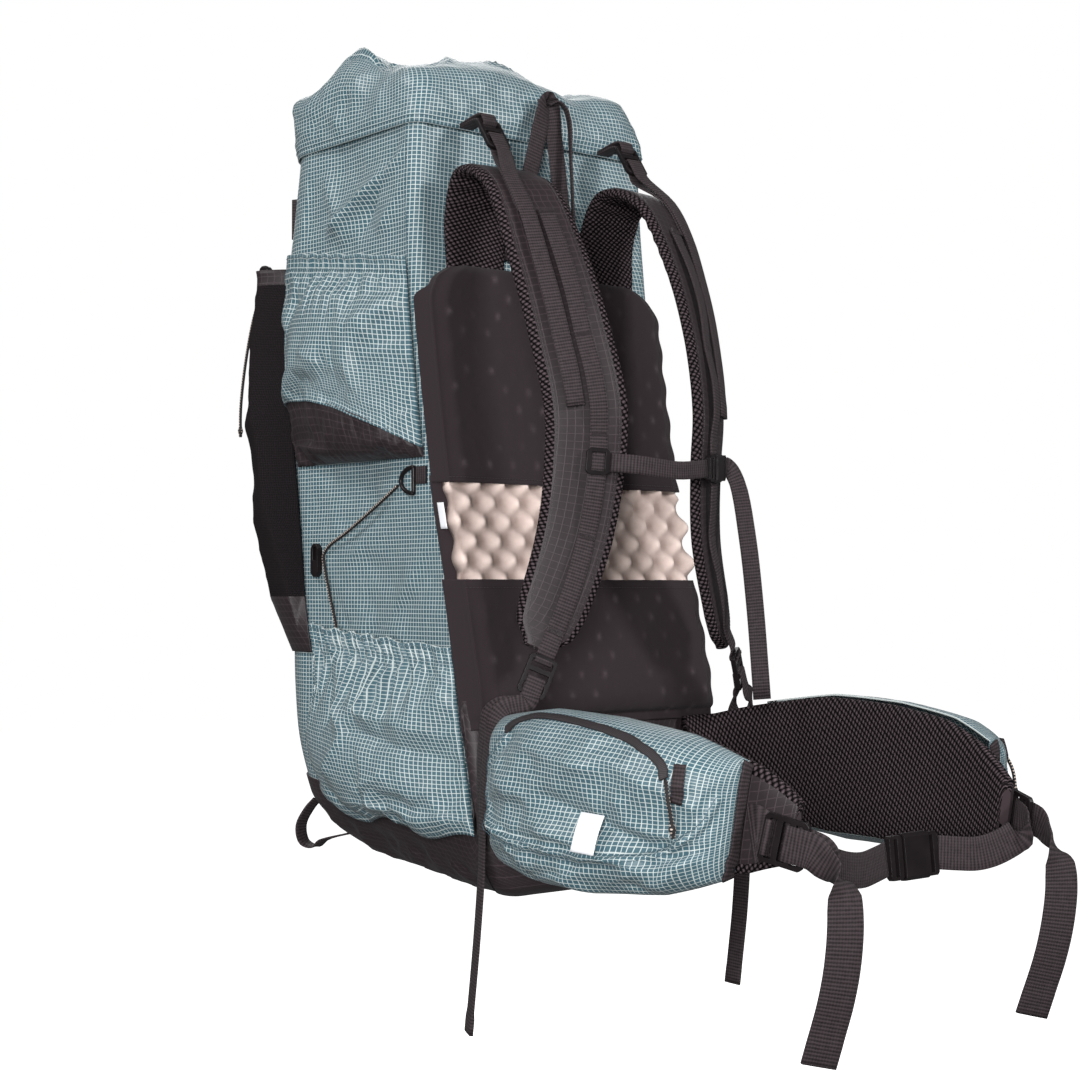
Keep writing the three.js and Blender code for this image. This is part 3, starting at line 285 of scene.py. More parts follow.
def off_bag(f, z, off=0.0):
    """A place off the bag at height z. f goes round half of it: 0 to 1 the back, 1 to 2 the back
    corner, 2 to 3 the side, 3 to 4 the front corner, 4 to 5 the front. The left half has f < 0."""
    f, z, off = np.broadcast_arrays(*(np.asarray(a, float) for a in (f, z, off)))
    mirror, f = np.where(f < 0, -1.0, 1.0), np.abs(f)
    back, front, half, tilt = (smooth(z, BAG[:, 0], BAG[:, k]) for k in (1, 2, 3, 4))
    part = np.minimum(f.astype(int), 4)
    turn = (f - part) * np.pi / 2
    none, one = np.zeros_like(f), np.ones_like(f)
    out_x = np.choose(part, [none, np.sin(turn), one, np.cos(turn), none])
    out_y = np.choose(part, [-one, -np.cos(turn), none, np.sin(turn), one])
    radius = np.choose(part, [none, none + BACK_CORNER, none, none + FRONT_CORNER, none])
    back_x, back_y = half - BACK_CORNER, back + BACK_CORNER
    front_x, front_y = half - FRONT_CORNER, front - FRONT_CORNER
    side_y = back_y + (f - 2) * (front_y - back_y)
    x = np.choose(part, [f * back_x, back_x, half, front_x, (5 - f) * front_x]) + out_x * radius
    y = np.choose(part, [back, back_y, side_y, front_y, front]) + out_y * radius
    return np.stack([mirror * (x + out_x * off), y + out_y * off, z + tilt * (y - (back + front) / 2)], -1)


def off_side(y, z, off):
    """A place off the bag's right side at a given y."""
    back_y, front_y = off_bag(2.0, z)[..., 1], off_bag(3.0, z)[..., 1]
    return off_bag(2 + (y - back_y) / (front_y - back_y), z, 0.4 + off)


SIDES = (("right", np.array((1.0, 1, 1))), ("left", np.array((-1.0, 1, 1))))


def to_left(points):
    return np.asarray(points, float) * (-1, 1, 1)


def dress(piece, solid=None):
    """Puts a piece on the pack's one body, in place of a solid if it has one."""
    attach(piece, "root")
    if solid:
        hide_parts(solid)


def add_cord(name, route, knot=False):
    """A free cord along its route, with an overhand knot at the end where it has one."""
    line = spline(route, 90)
    at = lengths(line)
    radius = np.full(len(line), CORD / 2)
    if knot:
        radius += 1.1 * np.exp(-((at - (at[-1] - 6)) / 2.6) ** 2)
    piece = tube(f"{name}_braid", line, radius, flecked_cord)
    dress(piece, name)


COMPRESSION = [(32.5, -350), (70, -369), (110, -388), (138, -400), (146, -408), (144, -420), (137, -440),
               (127, -465), (120, -486)]
compression = np.array([off_side(y, z, CORD / 2 + 0.4) for y, z in COMPRESSION])
for side, mirror in SIDES:
    add_cord(f"compression_cord_{side}", compression * mirror)

# Main bag: a tube of slate-blue ripstop, sewn from side, front and back panels. The cloth is thin
# and crisp, so it creases in long straight folds where the load pulls it.
CLOTH = 1.4


def ripstop(name, cell, line, pitch, line_share, contrast, roughness, sheen):
    """Ripstop cloth: a fine plain weave with thicker threads in a grid of a pitch in millimetres. Its
    lines take up a share of the pitch, fade in patches of 11 mm and have soft edges."""
    soft = 0.07
    material, tree, shader = new_material(name, roughness=roughness, sheen_weight=sheen, sheen_roughness=0.5,
                                          specular_ior_level=0.35)
    away = cloth = node(tree, "ShaderNodeUVMap", uv_map="cloth").outputs["UV"]
    per_cell = (scale(pitch[0]), scale(pitch[1]), 0)
    middle = (0.5, 0.5, 0)
    for step, by in (("MULTIPLY", per_cell), ("FRACTION", None), ("SUBTRACT", middle), ("ABSOLUTE", None)):
        inputs = {0: away, 1: by} if by else {0: away}
        away = node(tree, "ShaderNodeVectorMath", inputs, operation=step).outputs[0]
    axes = node(tree, "ShaderNodeSeparateXYZ", {"Vector": away}).outputs
    most = node(tree, "ShaderNodeMath", {0: axes["X"], 1: axes["Y"]}, operation="MAXIMUM").outputs[0]
    edge = 0.5 - line_share / 2
    grid = node(tree, "ShaderNodeMapRange", {"Value": most, "From Min": edge - soft, "From Max": edge + soft},
                interpolation_type="SMOOTHSTEP").outputs["Result"]
    patches = {"Vector": cloth, "Scale": scale(11.1), "Detail": 4.0}
    spots = node(tree, "ShaderNodeTexNoise", patches).outputs["Fac"]
    faded = node(tree, "ShaderNodeMapRange",
                 {"Value": spots, "To Min": contrast * 0.75, "To Max": contrast * 1.15}).outputs["Result"]
    share = node(tree, "ShaderNodeMath", {0: grid, 1: faded}, operation="MULTIPLY", use_clamp=True).outputs[0]
    tone_mix = node(tree, "ShaderNodeMix", {"Factor": spots, "A": srgb(cell[0]), "B": srgb(cell[1])},
                data_type="RGBA").outputs["Result"]
    threads = node(tree, "ShaderNodeTexNoise", {"Vector": cloth, "Scale": scale(0.556), "Detail": 1.0})
    height = node(tree, "ShaderNodeMath", {0: threads.outputs["Fac"], 1: 0.3, 2: grid},
                  operation="MULTIPLY_ADD").outputs[0]
    surface(tree, shader, share, tone_mix, line, height, 0.35, 0.3)
    return material


# Slate-blue ripstop with a pale grid of oblong cells, slightly glossy from its coating.
blue_ripstop = ripstop("blue_ripstop", ("#3b5a65", "#496974"), "#d8e0de", pitch=(4.2, 3.7),
                       line_share=0.15, contrast=0.9, roughness=0.42, sheen=0.03)


def crumple(points, size, seed):
    """Creased noise from -1 to 1 over points in mm: sharp ridges between soft hollows."""
    values = np.zeros(points.shape[:-1])
    for octave, share in ((1, 0.6), (2.1, 0.28), (4.3, 0.12)):
        flat = points.reshape(-1, 3) * (octave / size) + (seed * 7.31, seed * 3.17, seed * 5.71)
        heights = [1 - 3.2 * abs(noise.noise(p)) for p in flat.tolist()]
        values += share * np.array(heights).reshape(values.shape)
    return values


def folds(u, v, table):
    """Height of straight creases: a row is a line from u, v to u, v, its height and its half width."""
    height = np.zeros(np.broadcast(u, v).shape)
    for u0, v0, u1, v1, tall, wide in table:
        du, dv = u1 - u0, v1 - v0
        size = math.hypot(du, dv)
        t = ((u - u0) * du + (v - v0) * dv) / size ** 2
        away = ((v - v0) * du - (u - u0) * dv) / size
        ends = np.clip(1.15 - np.abs(2 * t - 1) ** 3, 0, 1)
        height += tall * ends * np.exp(-np.sqrt(away ** 2 + 1) / wide)
    return height


def ease(x, low, high):
    t = np.clip((x - low) / (high - low), 0, 1)
    return t * t * (3 - 2 * t)


def finish_cloth(piece, solid=None, thick=CLOTH):
    """Gives an open cloth its thickness, inwards from the modelled face, and puts it on the pack."""
    wall = piece.modifiers.new("cloth_thickness", "SOLIDIFY")
    wall.thickness = thick / 1000
    wall.offset = -1
    dress(piece, solid)


STEPS = (26, 8, 52, 20, 16)
half_way = np.concatenate([*(np.linspace(k, k + 1, count, False) for k, count in enumerate(STEPS)), [5]])
ALL_ROUND = np.concatenate([half_way, -half_way[1:-1][::-1]])
# Creases of a side panel: y and z of both ends, height and half width.
SIDE_FOLDS = [
    (13, -54, 149, -119, 11, 7), (34, -44, 100, -125, -6, 9), (160, -60, 120, -128, 5, 8),
    (20, -80, 70, -128, 5, 8), (190, -40, 176, -120, -5, 8), (40, -350, 120, -420, 2, 8),
    (-20, -390, 60, -470, 3.5, 10), (150, -420, 110, -480, -3, 8), (150, -340, 130, -405, 2.4, 8),
    (0, -440, 90, -478, -3, 9)]
# Places on a side where tab, ring and hook hold the cloth: y and z, all with the same reach.
HELD_AT, HELD_REACH = ((0, -342), (20, -346), (157, -412)), 26
BAG_TOP, BAG_FOOT = -31, -632
bag_heights = np.linspace(BAG_TOP, BAG_FOOT, 130)
f, z = np.meshgrid(ALL_ROUND, bag_heights)
plain = off_bag(f, z)
side_share = np.clip(np.sin(np.pi * np.clip(np.abs(f) - 2, 0, 1)), 0, 1) ** 0.6
fitted = np.ones_like(z)
for y, level in HELD_AT:
    fitted *= 1 - np.exp(-((plain[..., 1] - y) ** 2 + (plain[..., 2] - level) ** 2) / (2 * HELD_REACH ** 2))
free_back = ease(z, -148, -125) * (np.abs(f) < 1)
# The panels' crumpling: its height, and how far it lies under the plain bag.
SIDE_CRUMPLE, SIDE_SUNK, BACK_CRUMPLE, BACK_SUNK = 3.2, 4.8, 1.2, 1.6
creased = 1.35 * folds(plain[..., 1], plain[..., 2], SIDE_FOLDS)
creased = creased + SIDE_CRUMPLE * crumple(plain, size=74, seed=1) - SIDE_SUNK
sink = side_share * fitted * creased
sink += free_back * (BACK_CRUMPLE * crumple(plain, size=60, seed=2) - BACK_SUNK)
steps = np.linalg.norm(np.diff(np.concatenate([plain, plain[:, :1]], 1), axis=1), axis=2)
around = np.concatenate([np.zeros((len(plain), 1)), np.cumsum(steps, 1)], 1)
left_side = int(np.argmin(np.abs(ALL_ROUND + 2)))
around += -around[:, left_side:left_side + 1] - plain[:, left_side:left_side + 1, 1]
bag_uv = np.stack([around, np.repeat(bag_heights[:, None], around.shape[1], 1)], -1) / 1000
bag = off_bag(f, z, sink)
main_bag = skin("bag_cloth", bag, [blue_ripstop], around=True, uv=bag_uv, inside=(0, 90, -330))
finish_cloth(main_bag, "main_bag")

# Bottom panel: a tub of heavier black ripstop, lapped over the foot of the bag and higher up the
# back. Its floor slumps under the load and its lower edge crumples, except where the loops are sewn on.
black_ripstop = ripstop("black_ripstop", ("#231b1e", "#2f2629"), "#75666a", pitch=(6.8, 6.4),
                        line_share=0.06, contrast=0.27, roughness=0.5, sheen=0.02)
LAP, BACK_LAP_TOP, SIDE_LAP_TOP, TUB_FOOT = 1.8, -528, -618, -688
LOOP_HEIGHTS, LOOP_REACH = np.array((-645.0, -673.0)), 20
DENT_FROM, DENT_FULL, FLOOR_SLUMP = 636, 662, 2.5
lap_top = BACK_LAP_TOP + (SIDE_LAP_TOP - BACK_LAP_TOP) * ease(np.abs(ALL_ROUND), 1.85, 2.05)
down = np.linspace(0, 1, 46)[:, None]
z = lap_top[None, :] + (TUB_FOOT - lap_top[None, :]) * down ** 0.8
f = np.repeat(ALL_ROUND[None, :], len(z), 0)
tub = off_bag(f, z, LAP)
low = ease(-z, DENT_FROM, DENT_FULL)
loop_ends = off_bag(3.5, LOOP_HEIGHTS, LAP)
for place in (*loop_ends, *to_left(loop_ends)):
    low *= 1 - np.exp(-np.sum((tub - place) ** 2, -1) / (2 * LOOP_REACH ** 2))
dents = crumple(tub, size=52, seed=3)
tub = off_bag(f, z, LAP + low * np.where(np.abs(f) > 2, 6.4 * dents - 3.6, 0.8 * dents - 0.8))
middle = tub[-1].mean(0) - (0, 0, FLOOR_SLUMP)
floor_rows = [middle + (tub[-1] - middle) * s for s in np.linspace(1, 0.02, 12)[1:]]
tub = np.concatenate([tub, floor_rows], 0)
bottom = skin("bottom_cloth", tub, [black_ripstop], around=True, inside=(0, 60, -600))
finish_cloth(bottom, "bottom_panel")

# Roll top: the collar of the bag, the same blue ripstop, folded together over the mouth into a slack
# roll that slumps into pinched peaks and hollows. Its rows have a rise and a share of the way to the ridge.
ROLL = np.array([(-5, -0.02), (14, -0.055), (36, -0.05), (53, 0.03), (64, 0.24), (69, 0.55), (68, 0.85),
                 (66, 1.0)])
COLLAR = -34
RIDGE_HALF, RIDGE_Y = 92, 112


def billow(grid, held, spare, pressure, drape, reach, bend=0.6, around=False, behind=(0, 100, -330)):
    """Cloth settled by simulation: cut larger than its place by a share (spare), held at the marked
    points, blown out from behind and sagging a little. No point moves further than its reach."""
    rows, cols = grid.shape[:2]
    quads = grid_faces(rows, cols, around)[2]
    flat = grid.reshape(-1, 3)
    a, b, e, d = (flat[quads[:, k]] for k in range(4))
    if np.sum(np.cross(e - a, d - b) * ((a + e) / 2 - behind)) < 0:
        quads = quads[:, ::-1]
    mesh = bpy.data.meshes.new("settling")
    mesh.from_pydata((flat / 1000).tolist(), [], quads.tolist())
    sheet = bpy.data.objects.new("settling", mesh)
    scene.collection.objects.link(sheet)
    sheet.vertex_groups.new(name="held").add(np.flatnonzero(held.ravel()).tolist(), 1.0, "REPLACE")
    settling = sheet.modifiers.new("settling", "CLOTH")
    cloth = settling.settings
    cloth.quality = 6
    cloth.mass = 0.1
    cloth.tension_stiffness = cloth.compression_stiffness = 20
    cloth.shear_stiffness = 5
    cloth.bending_stiffness = bend
    cloth.vertex_group_mass = "held"
    cloth.shrink_min = -spare
    cloth.use_pressure = True
    cloth.uniform_pressure_force = pressure
    cloth.effector_weights.gravity = drape
    last = 20
    settling.point_cache.frame_start, settling.point_cache.frame_end = 1, last
    for step in range(1, last + 1):
        scene.frame_set(step)
    settled = sheet.evaluated_get(bpy.context.evaluated_depsgraph_get()).to_mesh()
    places = np.zeros(rows * cols * 3)
    settled.vertices.foreach_get("co", places)
    scene.frame_set(1)
    bpy.data.objects.remove(sheet)
    bpy.data.meshes.remove(mesh)
    moved = places.reshape(rows, cols, 3) * 1000 - grid
    for _ in range(2):
        wide = np.pad(moved, ((1, 1), (1, 1), (0, 0)), mode="edge")
        if around:
            wide[1:-1, 0], wide[1:-1, -1] = moved[:, -1], moved[:, 0]
        near = wide[:-2, 1:-1] + wide[2:, 1:-1] + wide[1:-1, :-2] + wide[1:-1, 2:]
        moved = np.where(held[..., None], moved, moved * 0.5 + near * 0.125)
    far = np.linalg.norm(moved, axis=-1, keepdims=True)
    return grid + moved * np.where(far > 1e-6, reach * np.tanh(far / reach) / np.maximum(far, 1e-6), 1)


# Lumps and pinches: place, push up, push out and spread.
ROLL_LUMPS = [
    (-106, 134, 10, 0, 22), (-126, 210, 0, 11, 40), (-114, 172, -12, 0, 18), (-118, 56, -13, -5, 32),
    (-30, 100, -2, 0, 60), (12, 100, 8, 0, 32), (52, 50, -16, -5, 26), (120, 40, 0, -10, 44),
    (60, 190, -8, 3, 60)]
# Sharp creases on the roll seen from above: x and y of both ends, height and half width.
ROLL_FOLDS = [
    (-118, 96, -104, 150, 10, 7), (-126, 70, -90, 104, -9, 7), (-60, 60, -30, 130, 5, 9),
    (10, 24, -26, 70, 8, 7), (24, 30, 60, 110, 7, 7), (-10, 20, 20, 28, -7, 8), (70, 40, 96, 100, -5, 8),
    (-90, 150, -40, 200, 6, 9), (-130, 176, -100, 130, -7, 7), (30, 150, 80, 210, 5, 9),
    (-80, 30, -50, 90, 5, 7), (-104, 30, -70, 70, -5, 7)]
row_at = np.concatenate([np.linspace(0, 5, 44, False), np.linspace(5, 7, 16)])
rise = smooth(row_at, np.arange(8), ROLL[:, 0])
close = smooth(row_at, np.arange(8), ROLL[:, 1])
base = off_bag(ALL_ROUND, float(COLLAR), LAP)
across = np.clip(base[:, 0], -RIDGE_HALF, RIDGE_HALF)
ridge = np.stack([across, np.full(len(base), RIDGE_Y), np.zeros(len(base))], -1)
roll = base[None] + (ridge - base)[None] * close[:, None, None]
roll[..., 2] = (COLLAR + rise + 2 * close)[:, None]
CORNER_SOFTEN = 9
shifts = range(-CORNER_SOFTEN, CORNER_SOFTEN + 1)
softer = sum(np.roll(roll[..., :2], k, 1) for k in shifts) / len(shifts)
roll[..., :2] += (softer - roll[..., :2]) * ease(rise, 4, 40)[:, None, None]
lift = np.repeat(ease(rise, 8, 55)[:, None], roll.shape[1], 1)
away = roll[..., :2] - ridge[None, :, :2] * (0.5, 1)
away = np.concatenate([unit(away), np.zeros_like(away[..., :1])], -1)
plan = roll.copy()
for x, y, up, out, spread in ROLL_LUMPS:
    near = lift * np.exp(-((plan[..., 0] - x) ** 2 + (plan[..., 1] - y) ** 2) / (2 * spread ** 2))
    roll[..., 2] += near * up
    roll += away * (near * out)[..., None]
flat_share = ease(close, 0.0, 0.4)[:, None]
roll[..., 2] += flat_share * folds(plan[..., 0], plan[..., 1], ROLL_FOLDS)
roll[..., 2] += flat_share * 4.0 * crumple(plan * (1, 1, 0.5), size=60, seed=4)
wall_share = ease(rise, 0, 12)[:, None] * (1 - 0.7 * flat_share)
roll += away * (wall_share * (4.6 * crumple(plan, size=66, seed=5) - 2.2))[..., None]
at_row = np.repeat(row_at[:, None], roll.shape[1], 1)
SEAM_TO, RIDGE_FROM = 0.6, 6.6
roll = billow(roll, (at_row < SEAM_TO) | (at_row > RIDGE_FROM), spare=0.05, pressure=1.5, drape=0.15, reach=9,
              around=True, behind=(0, 110, -40))
ring = np.concatenate([roll, roll[:, :1]], 1)
TOP_FROM = 0.3
round_and_up = np.broadcast_arrays(lengths(ring[0])[None, :], row_lengths(roll)[:, None])
weave = np.where((close > TOP_FROM)[:, None, None], ring[..., :2], np.stack(round_and_up, -1)) / 1000
roll_top = skin("roll_top_cloth", roll, [blue_ripstop], around=True, uv=weave, inside=(0, 110, -60))
finish_cloth(roll_top, "roll_top")

# Back pad: closed-cell foam with staggered egg-crate bumps, 26 mm apart in a row, bare in a window
# between the two sleeves. The bumps on its outer edges give the window a scalloped edge.
foam, tree, shader = new_material("closed_cell_foam", roughness=0.75, specular_ior_level=0.4)
place = node(tree, "ShaderNodeTexCoord").outputs["Object"]
cells = node(tree, "ShaderNodeTexVoronoi", {"Vector": place, "Scale": scale(0.714)}).outputs["Distance"]
spots = node(tree, "ShaderNodeTexNoise", {"Vector": place, "Scale": scale(6.25), "Detail": 5}).outputs["Fac"]
# Painted shade: the height attribute darkens the foam's colour in the hollows between the bumps and lightens
# it on their tops, over a patchy tone.
height = node(tree, "ShaderNodeAttribute", attribute_name="height").outputs["Fac"]
tone_mix = node(tree, "ShaderNodeMath", {0: spots, 1: 0.35, 2: height}, operation="MULTIPLY_ADD").outputs[0]
share = node(tree, "ShaderNodeMapRange", {"Value": tone_mix, "From Min": 0.1, "From Max": 1.2}).outputs["Result"]
surface(tree, shader, share, "#8a766f", "#ecd8cf", cells, 0.3, 0.4)
PAD_HALF, PAD_TOP, PAD_BOTTOM, WINDOW_TOP, WINDOW_BOTTOM = 131, -160, -530, -349, -430
BUMP_PITCH, ROW_PITCH = 13.1, 16.2
FOAM_BASE, BUMP_TALL, FOAM_LEAST, EDGE_SCALLOP, FOAM_SEAT = 7.5, 8.5, 4, 5.0, 0.4


def bumps(x, z):
    """Egg-crate relief from 0 in the hollows to 1 on the bumps, staggered from row to row."""
    return 0.5 + 0.5 * np.cos(np.pi * x / BUMP_PITCH) * np.cos(np.pi * (z - WINDOW_TOP) / ROW_PITCH)


def pad_inset(z):
    """How far the pad's rounded upper corners draw in at a height."""
    return smooth(z, (PAD_TOP, -174, -196, -540), (30, 9, 0, 0))


x_share, pad_z = np.meshgrid(np.linspace(-1, 1, 150), np.linspace(PAD_TOP, PAD_BOTTOM, 150))
in_window = ease(WINDOW_TOP - pad_z, 2, 8) * ease(pad_z - WINDOW_BOTTOM, 2, 8)
scallop = in_window * EDGE_SCALLOP * (bumps(PAD_HALF, pad_z) - 0.5) * ease(np.abs(x_share), 0.88, 1)
pad_x = x_share * (PAD_HALF - pad_inset(pad_z) + scallop)
tops = bumps(pad_x, pad_z)
flank = np.maximum(ease(1 - np.abs(x_share), 0, 0.12), in_window)
flank = flank * ease(pad_z - PAD_BOTTOM, -4, 12) * ease(PAD_TOP - pad_z, -4, 16)
thick = (FOAM_BASE + BUMP_TALL * tops ** 1.7) * (0.5 + 0.5 * flank)
pad_back = off_bag(0.0, pad_z)[..., 1] - FOAM_SEAT
front = np.stack([pad_x, pad_back - thick, pad_z], -1)
sides = [np.stack([pad_x[:, k], pad_back[:, k], pad_z[:, k]], -1)[:, None] for k in (-1, 0)]
front[..., 1] = np.minimum(front[..., 1], pad_back - FOAM_LEAST)
back_pad = skin("foam_pad", np.concatenate([front, *sides], 1), [foam], around=True, caps=True)
# Each point's bump height, read by the foam's colour to paint shade in the hollows.
heights = back_pad.data.attributes.new("height", "FLOAT", "POINT")
heights.data.foreach_set("value", np.concatenate([tops, 0.4 * np.ones((len(tops), 2))], 1).ravel())
dress(back_pad, "back_pad")

# Pad sleeves: two-way stretch knit pulled over the foam, so that each bump shows, lighter in patches on its
# top.
# Its wales are 1 mm apart and the lighter tops break up in patches of 2.4 mm. WAVE is a wave texture's period.
KNIT, WAVE = 0.982, 2 * math.pi / 20
stretch_knit, tree, shader = new_material("stretch_knit", roughness=0.95, sheen_weight=0.05,
                                          specular_ior_level=0.2)
cloth = node(tree, "ShaderNodeUVMap", uv_map="cloth").outputs["UV"]
wales = {"Vector": cloth, "Scale": scale(KNIT, WAVE), "Distortion": 1.5, "Detail": 1.0}
ribs = node(tree, "ShaderNodeTexWave", wales, bands_direction="X").outputs["Fac"]
# The colour is lighter on the bump tops, in patches.
bump_top_patches = node(tree, "ShaderNodeAttribute", attribute_name="bump_top_patches").outputs["Fac"]
spots = node(tree, "ShaderNodeTexNoise", {"Vector": cloth, "Scale": scale(2.38), "Detail": 6}).outputs["Fac"]
lighter_tops = node(tree, "ShaderNodeMath", {0: bump_top_patches, 1: spots}, operation="MULTIPLY", use_clamp=True).outputs[0]
surface(tree, shader, lighter_tops, "#30282b", "#655a5e", ribs, 0.35, 0.3)
KNIT_THICK = 1.0
# How far the sleeves' sides turn in, their stand-off at the sides, how much more it is in the middle, and
# how far the lower one goes on under the foam.
TURN_IN, SIDE_STAND, MORE_STAND, BELOW_FOAM = 0.12, 10.5, 6.5, 22


def add_sleeve(name, top, bottom, closed_top):
    """A sleeve from its top to its bottom, whose sides turn in around the foam."""
    stops = np.concatenate([np.linspace(-1 - TURN_IN, -1, 8, False), np.linspace(-1, 1, 150),
                            np.linspace(1, 1 + TURN_IN, 9)[1:]])
    s, z = np.meshgrid(stops, np.linspace(top, bottom, 90))
    half = PAD_HALF + 0.8 + 2.6 * bumps(PAD_HALF, z) * (s > 0) - pad_inset(z)
    turned = np.clip((np.abs(s) - 1) / TURN_IN, 0, 1)
    x = np.clip(s, -1, 1) * half
    hem = ease(z - bottom, 3, 9) if closed_top else ease(top - z, 3, 9)
    relief = bumps(x, z) ** 5 * ease(half - np.abs(x), 4, 10) * hem
    rounded = ease(1 - np.abs(np.clip(s, -1, 1)), 0, 0.11)
    stand = (1 - turned) * (SIDE_STAND + MORE_STAND * rounded) + turned * 2.0 + 0.8 * relief
    if closed_top:
        stand = 2.2 + (stand - 2.2) * np.clip(1 - ((z - (top - 12)) / 12).clip(0, 1) ** 2, 0, 1) ** 0.5
    else:
        stand = 3.4 + (stand - 3.4) * np.clip(1 - ((PAD_BOTTOM + 4 - z) / 18).clip(0, 1) ** 2, 0, 1) ** 0.5
    stand += 0.9 * crumple(np.stack([x, stand * 0, z], -1), size=45, seed=6) * rounded * hem
    points = np.stack([x, off_bag(0.0, z)[..., 1] - stand, z], -1)
    sewn = off_bag(np.sign(s) * (1.75 if closed_top else 1.95), z, 2.4)
    into_seam = ease(turned, 0.3, 1)[..., None] * (1 - ease(pad_inset(z), 0, 6))[..., None]
    points = points * (1 - into_seam) + sewn * into_seam
    piece = skin(name + "_cloth", points, [stretch_knit], inside=(0, 60, -340))
    spots = piece.data.attributes.new("bump_top_patches", "FLOAT", "POINT")
    patch_noise = np.clip(crumple(np.stack([x, x * 0, z], -1), size=60, seed=15), 0, 1)
    spots.data.foreach_set("value", (np.clip(relief, 0, 1) ** 2 * patch_noise).ravel())
    finish_cloth(piece, name, KNIT_THICK)
    return points


upper_sleeve = add_sleeve("pad_sleeve_upper", -158, WINDOW_TOP, True)
lower_sleeve = add_sleeve("pad_sleeve_lower", WINDOW_BOTTOM, PAD_BOTTOM - BELOW_FOAM, False)

# Pad edging: the same knit, bound over the bag's back corners beside the window.
for side, way in (("right", 1), ("left", -1)):
    f, z = np.meshgrid(np.linspace(0.99, 1.85, 10) * way, np.linspace(WINDOW_TOP + 6, WINDOW_BOTTOM - 6, 20))
    piece = skin(f"pad_edging_{side}", off_bag(f, z, 1.6), [stretch_knit], inside=(0, 60, -390))
    finish_cloth(piece, thick=KNIT_THICK)

# Side pockets: two on each side, of the same blue ripstop, gathered on an elastic hem. Each bellies
# out from the bag between its back and front seams.
POCKET_SEAT = 0.8
# Rows down a pocket: z at the back and front seams, stand-off in the middle, stand-off of the edges.
UPPER_ROWS = np.array([(-154, -128, 11, 0), (-164, -138, 9, 0), (-205, -185, 21, 0), (-250, -224, 30, 0),
                       (-296, -256, 34, 0), (-319, -272, 29, 0)])
LOWER_ROWS = np.array([(-486, -468, 13, 0), (-500, -484, 10, 0), (-545, -535, 24, 0), (-592, -586, 31, 1),
                       (-612, -614, 26, 2.2), (-625, -636, 8, 2.8)])
# Creases of each pocket: y and z of both ends, height and half width.
UPPER_FOLDS = [
    (-20, -171, 80, -186, -7, 15), (-10, -186, 90, -214, 6, 13), (178, -165, 178, -228, -7, 12),
    (135, -226, 103, -242, 5, 9), (13, -255, -8, -238, 4, 9), (173, -258, 140, -272, -6, 11),
    (60, -200, 20, -270, 4, 13), (150, -165, 80, -186, 4, 12), (70, -258, 110, -276, -4, 10)]
LOWER_FOLDS = [
    (64, -555, -75, -584, -11, 11), (60, -540, -60, -560, 7, 9), (90, -530, 60, -560, 9, 8),
    (60, -560, 92, -600, 8, 7), (-26, -508, -72, -556, 8, 8), (20, -500, 50, -545, 7, 8),
    (100, -610, 60, -640, -8, 7), (30, -612, 10, -640, 8, 6), (-30, -600, -60, -636, 7, 7),
    (110, -500, 96, -560, -7, 8), (0, -590, 40, -606, 6, 7)]
POCKET_COLUMNS, POCKET_ROWS, GUSSET_ROW_COUNT = 180, 66, 30
# Gathers across a hem: tight pleats in it, wider fans under it and waves of its edge.
PLEATS, PLEAT_TALL, FANS, FAN_TALL, WAVES = 29, 2.6, 13, 3.4, 7
# The front seam's height and place round the bag at its top and foot, and the share of a pocket's
# columns on the flat of the side.
SEAM_TOP, SEAM_FOOT, FLAT_SHARE = (-139, 3.3), (-497, 2.88), 11 / 12


def front_seam(z):
    """Where round the bag the side pockets end and the mesh pocket starts, at a height."""
    (z0, f0), (z1, f1) = SEAM_TOP, SEAM_FOOT
    return np.maximum(f1, f0 + (z - z0) * (f1 - f0) / (z1 - z0))


